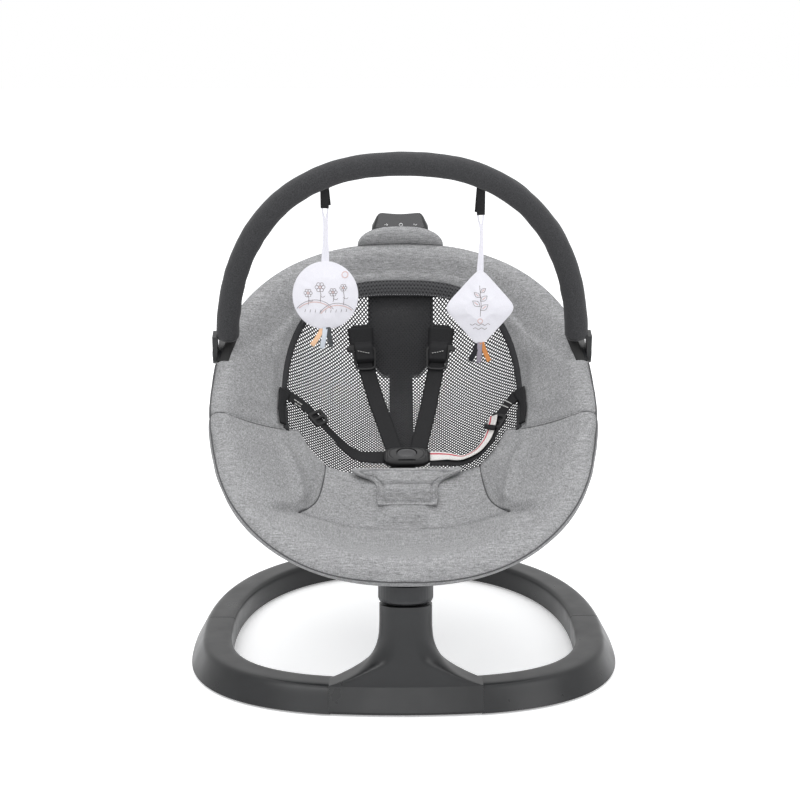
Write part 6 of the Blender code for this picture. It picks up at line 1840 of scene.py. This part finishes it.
def rounded_diamond(half_x, half_z):
    """A diamond with straight sides and rounded corners."""
    corners = np.array([(1.0, 0.0), (0.0, 1.0), (-1.0, 0.0), (0.0, -1.0), (1.0, 0.0)])
    places = even(corners, OUTLINE_PLACES + 1)[:-1]
    for _ in range(26):
        places = (np.roll(places, 1, axis=0) + 2 * places + np.roll(places, -1, axis=0)) / 4
    return places / places.max(axis=0) * (half_x, half_z)


def build_toy(side, name, outline, sink, colours, motif):
    body = "toy_" + name
    _, foot = toy_hinge(side)
    top = foot - (0.0, 0.0, RIBBON_DROP)
    low = top - (0.0, 0.0, RIBBON_LENGTH)
    build_ribbon(side, name, top, low)
    half_z = float(outline[:, 1].max())
    centre = low - (0.0, 0.0, half_z + sink)
    rings = [centre + ring for ring in pillow_faces(outline, TOY_THICKNESS * 0.8)]
    mesh = tube_mesh(rings)
    order = np.concatenate([PILLOW_RADII, PILLOW_RADII[-2::-1]])
    edge = np.concatenate([np.repeat(np.where(order > 0.985, 1.0, 0.0), OUTLINE_PLACES), [0.0, 0.0]])
    pillow = add_pad("toy_pillow_" + name, mesh, "white_cloth", body, ["toy_body_" + name],
                     0.7, edge, 0.0028, pressure=6.0)
    MOTIFS.append((pillow, motif, centre, body, name))
    under = centre - (0.0, 0.0, half_z)
    band = np.linspace(0.0, 1.0, 18)
    for k, (colour, offset, spread, length) in enumerate(colours):
        start = under + (offset * 0.55, 0.0004 * (k - 1), 0.004)
        bend = np.column_stack([spread * band ** 1.3, -0.0035 * np.sin(band * 2.2 + k), -length * band])
        hanging_tape(f"tail_{name}_{colour}", start + bend, np.full(18, TAIL_WIDTH), colour, body,
                     ["toy_tails_" + name] if k == 0 else (), 0.3 * (k - 1) + 0.2 * band)


def build_ribbon(side, name, top, low):
    """White ribbon of a toy: a narrow strand through each side of the tab, joined into one band below."""
    t = np.linspace(0.0, 1.0, 48)
    fork = 1 - ease(0.0, 0.26, t)
    sway = np.column_stack([0.0010 * np.sin(t * 3.4), -0.0006 * np.sin(t * 6.0), 0 * t])
    narrow, extra = (0.0070, 0.0020) if side < 0 else (0.0048, 0.0005)
    full = mix(narrow, RIBBON_WIDTH + extra, ease(0.35, 1.0, t))
    for strand in (1, -1):
        reach = 0.0034 if strand == side else 0.0042
        shift = strand * mix(full * 0.18, reach, fork)
        start = top + STRAND_START
        route = mix(start, low + (0.0, 0.0, -0.006), t[:, None]) + sway
        route[:, 0] += shift
        width = mix(full * 0.66, STRAND_WIDTH, fork)
        turn = strand * (0.55 * fork + 0.10)
        hanging_tape(f"hang_ribbon_{name}_{'right' if strand > 0 else 'left'}", route, width, "ribbon",
                     "toy_" + name, ["toy_ribbon_" + name] if strand > 0 else (), turn, STRAND_THICKNESS)


def print_on_toys():
    """Thin printed lines on the front of each toy, laid on the cloth as it came out."""
    for pillow, motif, centre, body, name in MOTIFS:
        graph = bpy.context.evaluated_depsgraph_get()
        tree = BVHTree.FromObject(pillow, graph)
        for look, strokes in motif.items():
            verts, faces = [], []
            for stroke in strokes:
                stroke = np.asarray(stroke, float) * MOTIF_SIZE[name]
                line = even(stroke, max(int(path_length(stroke) / PRINT_STEP), 3))
                ahead = heading(line)
                side = np.stack([-ahead[:, 1], ahead[:, 0]], axis=-1)
                start = len(verts)
                for spot, away in zip(line, side):
                    for sign in (-1.0, 1.0):
                        x, z = spot + away * sign * PRINT_WIDTHS[look] / 2
                        verts.append(on_front(tree, centre, x, z))
                for k in range(len(line) - 1):
                    a = start + 2 * k
                    faces.append((a, a + 1, a + 3, a + 2))
            drawn = add(f"toy_{look}_{name}", mesh_of(verts, faces), look, body)
            thicken(drawn, "ink", PRINT_THICKNESS)


def path_length(points):
    return float(np.linalg.norm(np.diff(np.asarray(points, float), axis=0), axis=1).sum())


def on_front(tree, centre, x, z):
    """The place just in front of a toy's cloth at x, z from its middle."""
    start = Vector(centre) + Vector((x, -0.05, z))
    hit, _, _, _ = tree.ray_cast(start, Vector((0.0, 1.0, 0.0)))
    depth = hit.y if hit else centre[1]
    return (centre[0] + x, depth - PRINT_LIFT, centre[2] + z)


def arc(cx, cz, radius, start, end, count=40):
    angles = np.radians(np.linspace(start, end, count))
    return np.column_stack([cx + radius * np.cos(angles), cz + radius * np.sin(angles)])


def garden_motif():
    """Hills, a few round flowers on stems and a small sun: a plain drawing of its own."""
    lines = [arc(-0.012, -0.030, 0.026, 35, 145), arc(0.014, -0.032, 0.024, 40, 150)]
    pinks = []
    flowers = ((-0.020, 0.004, 0.0042), (-0.006, 0.011, 0.0050), (0.009, 0.005, 0.0042),
               (0.021, 0.010, 0.0036))
    for x, z, size in flowers:
        foot = -0.0065 if abs(x) < 0.015 else -0.010
        lines.append(np.array([(x, z - size), (x + 0.001, (z + foot) / 2), (x, foot)]))
        lines.append(arc(x + 0.003, (z + foot) / 2, 0.003, 200, 330, 14))
        for k in range(6):
            angle = math.tau * k / 6
            petal_x, petal_z = x + size * 0.75 * math.cos(angle), z + size * 0.75 * math.sin(angle)
            lines.append(arc(petal_x, petal_z, size * 0.42, 0, 360, 20))
        pinks.append(arc(x, z, size * 0.28, 0, 360, 16))
    for k in range(9):
        x = -0.024 + 0.006 * k
        lines.append(np.array([(x, -0.019), (x + 0.0008, -0.0155)]))
    pinks.append(arc(-0.012, -0.0325, 0.026, 44, 136))
    pinks.append(arc(0.014, -0.0345, 0.024, 46, 144))
    pinks.append(arc(0.023, 0.025, 0.0035, 0, 360, 24))
    return {"print_line": lines, "print_pink": pinks}


def leaf_motif():
    """A sprig of leaves over two wavy lines: a plain drawing of its own."""
    lines = [np.array([(0.0, -0.010), (0.0012, 0.004), (0.0, 0.020), (-0.001, 0.030)])]
    pinks = []
    for z, side, size in ((-0.002, 1, 0.010), (0.003, -1, 0.010), (0.010, 1, 0.009), (0.015, -1, 0.008),
                          (0.021, 1, 0.007)):
        tip = np.array([side * size, z + size * 0.75])
        root = np.array([0.0, z])
        middle = (tip + root) / 2
        off = np.array([-(tip - root)[1], (tip - root)[0]]) * 0.28
        lines.append(spline([root, middle + off, tip], 16))
        lines.append(spline([root, middle - off, tip], 16))
        pinks.append(np.array([root * 0.7 + tip * 0.3, root * 0.25 + tip * 0.75]))
    for z in (-0.021, -0.0265):
        reach = 0.013 if z > -0.024 else 0.009
        xs = np.linspace(-reach, reach, 50)
        lines.append(np.column_stack([xs, z + 0.0011 * np.sin(xs / 0.0013)]))
    pinks.append(arc(0.0, -0.016, 0.003, 0, 360, 24))
    return {"print_line": lines, "print_pink": pinks}


def build_toys():
    left = (("peach", -0.008, -0.0155, TAIL_LENGTH * 0.88), ("pale_blue", -0.001, -0.005, TAIL_LENGTH * 1.05),
            ("charcoal", 0.007, 0.004, TAIL_LENGTH))
    right = (("black_ribbon", -0.006, -0.010, TAIL_LENGTH * 0.9), ("mauve", 0.0, -0.001, TAIL_LENGTH),
             ("orange", 0.006, 0.011, TAIL_LENGTH * 0.95))
    for side, name in ((-1, "left"), (1, "right")):
        build_loop(side, name)
    disc = superellipse(round_angles(OUTLINE_PLACES), DISC_RADIUS, DISC_RADIUS + 0.0025, 2.0)
    build_toy(-1, "left", disc, -0.0010, left, garden_motif())
    diamond = rounded_diamond(DIAMOND_HALF_WIDTH, DIAMOND_HALF_HEIGHT + 0.001)
    build_toy(1, "right", diamond, 0.0030, right, leaf_motif())


# CAD nodes that stay

def dress_frame():
    """Procedural materials and small edge radii for the CAD nodes that stay visible."""
    looks = {"satin_black": "satin", "hub_grey": "hub", "grey_melange": "melange", "black_mesh": "knit",
             "dark_sleeve": "sleeve", "button_black": "panel"}
    slots = {part["node"]: part["material_slot"] for part in frame["record"]["subparts"]}
    for name, part in frame["nodes"].items():
        slot = slots.get(name, "satin_black")
        look = LOOKS["coated_steel" if name.startswith("frame_tube") else looks.get(slot, slot)]
        part.data.materials.clear()
        part.data.materials.append(look)
        if name.startswith(("side_bracket", "bar_socket", "control_panel", "head_clamp", "foot_clamp")):
            edge = part.modifiers.new("edge", "BEVEL")
            edge.width = 0.0004 if name.startswith("control") else 0.0009
            edge.segments = 2
            edge.limit_method = "ANGLE"
            edge.angle_limit = math.radians(40)
            part.data.shade_smooth()
            part.data.set_sharp_from_angle(angle=math.radians(40))


# Studio

def area_light(name, place, target, size, energy):
    data = bpy.data.lights.new(name, "AREA")
    data.shape = "RECTANGLE"
    data.size, data.size_y = size
    data.energy = energy
    light = bpy.data.objects.new(name, data)
    bpy.context.scene.collection.objects.link(light)
    light.location = place
    light.rotation_euler = (Vector(target) - Vector(place)).to_track_quat("-Z", "Y").to_euler()


def shown_rays(tree):
    """1 for the rays that show the background: seen straight, mirrored or through glass."""
    rays = node(tree, "ShaderNodeLightPath")
    mirrored = math_node(tree, "MAXIMUM", rays.outputs["Is Glossy Ray"], rays.outputs["Is Transmission Ray"])
    return math_node(tree, "MAXIMUM", rays.outputs["Is Camera Ray"], mirrored)


def floor_material():
    """White floor: its own colour, with white for the rays that show it and not for those that light."""
    material, tree, shader = start_material("studio_floor", 0.9, specular=0.1)
    coords = object_coords(tree)
    grain = noise_of(tree, coords, (1.0, 1.0, 1.0), 40.0, 3.0)
    link(tree, ramp_of(tree, grain, ((0.3, (0.93, 0.93, 0.93)), (0.7, (0.96, 0.96, 0.96)))),
         shader.inputs["Base Color"])
    reach = node(tree, "ShaderNodeVectorMath", operation="LENGTH")
    link(tree, coords, reach.inputs[0])
    share = node(tree, "ShaderNodeMapRange", From_Min=0.35, From_Max=1.3, To_Min=FLOOR_WHITE_NEAR,
                 To_Max=FLOOR_WHITE_FAR)
    link(tree, reach.outputs["Value"], share.inputs["Value"])
    white = node(tree, "ShaderNodeEmission", Color=(1.0, 1.0, 1.0, 1.0))
    link(tree, math_node(tree, "MULTIPLY", shown_rays(tree), share.outputs[0]), white.inputs["Strength"])
    both = node(tree, "ShaderNodeAddShader")
    link(tree, shader.outputs[0], both.inputs[0])
    link(tree, white.outputs[0], both.inputs[1])
    link(tree, both.outputs[0], tree.nodes["Material Output"].inputs["Surface"])
    return material


def build_studio():
    floor_mesh = mesh_of([(-6, -6, 0), (6, -6, 0), (6, 9, 0), (-6, 9, 0)], [(0, 1, 2, 3)])
    floor = bpy.data.objects.new("floor", floor_mesh)
    bpy.context.scene.collection.objects.link(floor)
    floor_mesh.materials.append(floor_material())
    world = bpy.data.worlds.new("studio")
    bpy.context.scene.world = world
    world.use_nodes = True
    tree = world.node_tree
    tree.nodes.clear()
    fill = node(tree, "ShaderNodeBackground", Color=WORLD_COLOUR, Strength=WORLD_LIGHT)
    white = node(tree, "ShaderNodeBackground", Color=(1.0, 1.0, 1.0, 1.0), Strength=1.0)
    choose = node(tree, "ShaderNodeMixShader")
    out = node(tree, "ShaderNodeOutputWorld")
    link(tree, shown_rays(tree), choose.inputs[0])
    link(tree, fill.outputs[0], choose.inputs[1])
    link(tree, white.outputs[0], choose.inputs[2])
    link(tree, choose.outputs[0], out.inputs["Surface"])
    for name, place, target, size, power in LAMPS:
        area_light(name, place, target, size, power)
    camera_data = bpy.data.cameras.new("camera")
    camera_data.lens = CAMERA_LENS
    camera_data.sensor_width = 36.0
    camera = bpy.data.objects.new("camera", camera_data)
    bpy.context.scene.collection.objects.link(camera)
    camera.location = CAMERA_PLACE
    camera.rotation_euler = (math.pi / 2 - CAMERA_PITCH, 0.0, -CAMERA_YAW)
    bpy.context.scene.camera = camera
    bpy.context.scene.view_settings.view_transform = "Standard"


SWELLING = []
MOTIFS = []
dress_frame()
build_ring()
build_column()
build_arm()
build_pod()
build_icons()
build_cover()
build_sleeve()
build_toys()
swell_pads()
for pad, *_ in SWELLING:
    subdivide(pad)
notch_cover()
build_boots()
build_binding()
build_seams()
build_knit()
build_hem()
build_straps()
build_buckle()
print_on_toys()
build_studio()
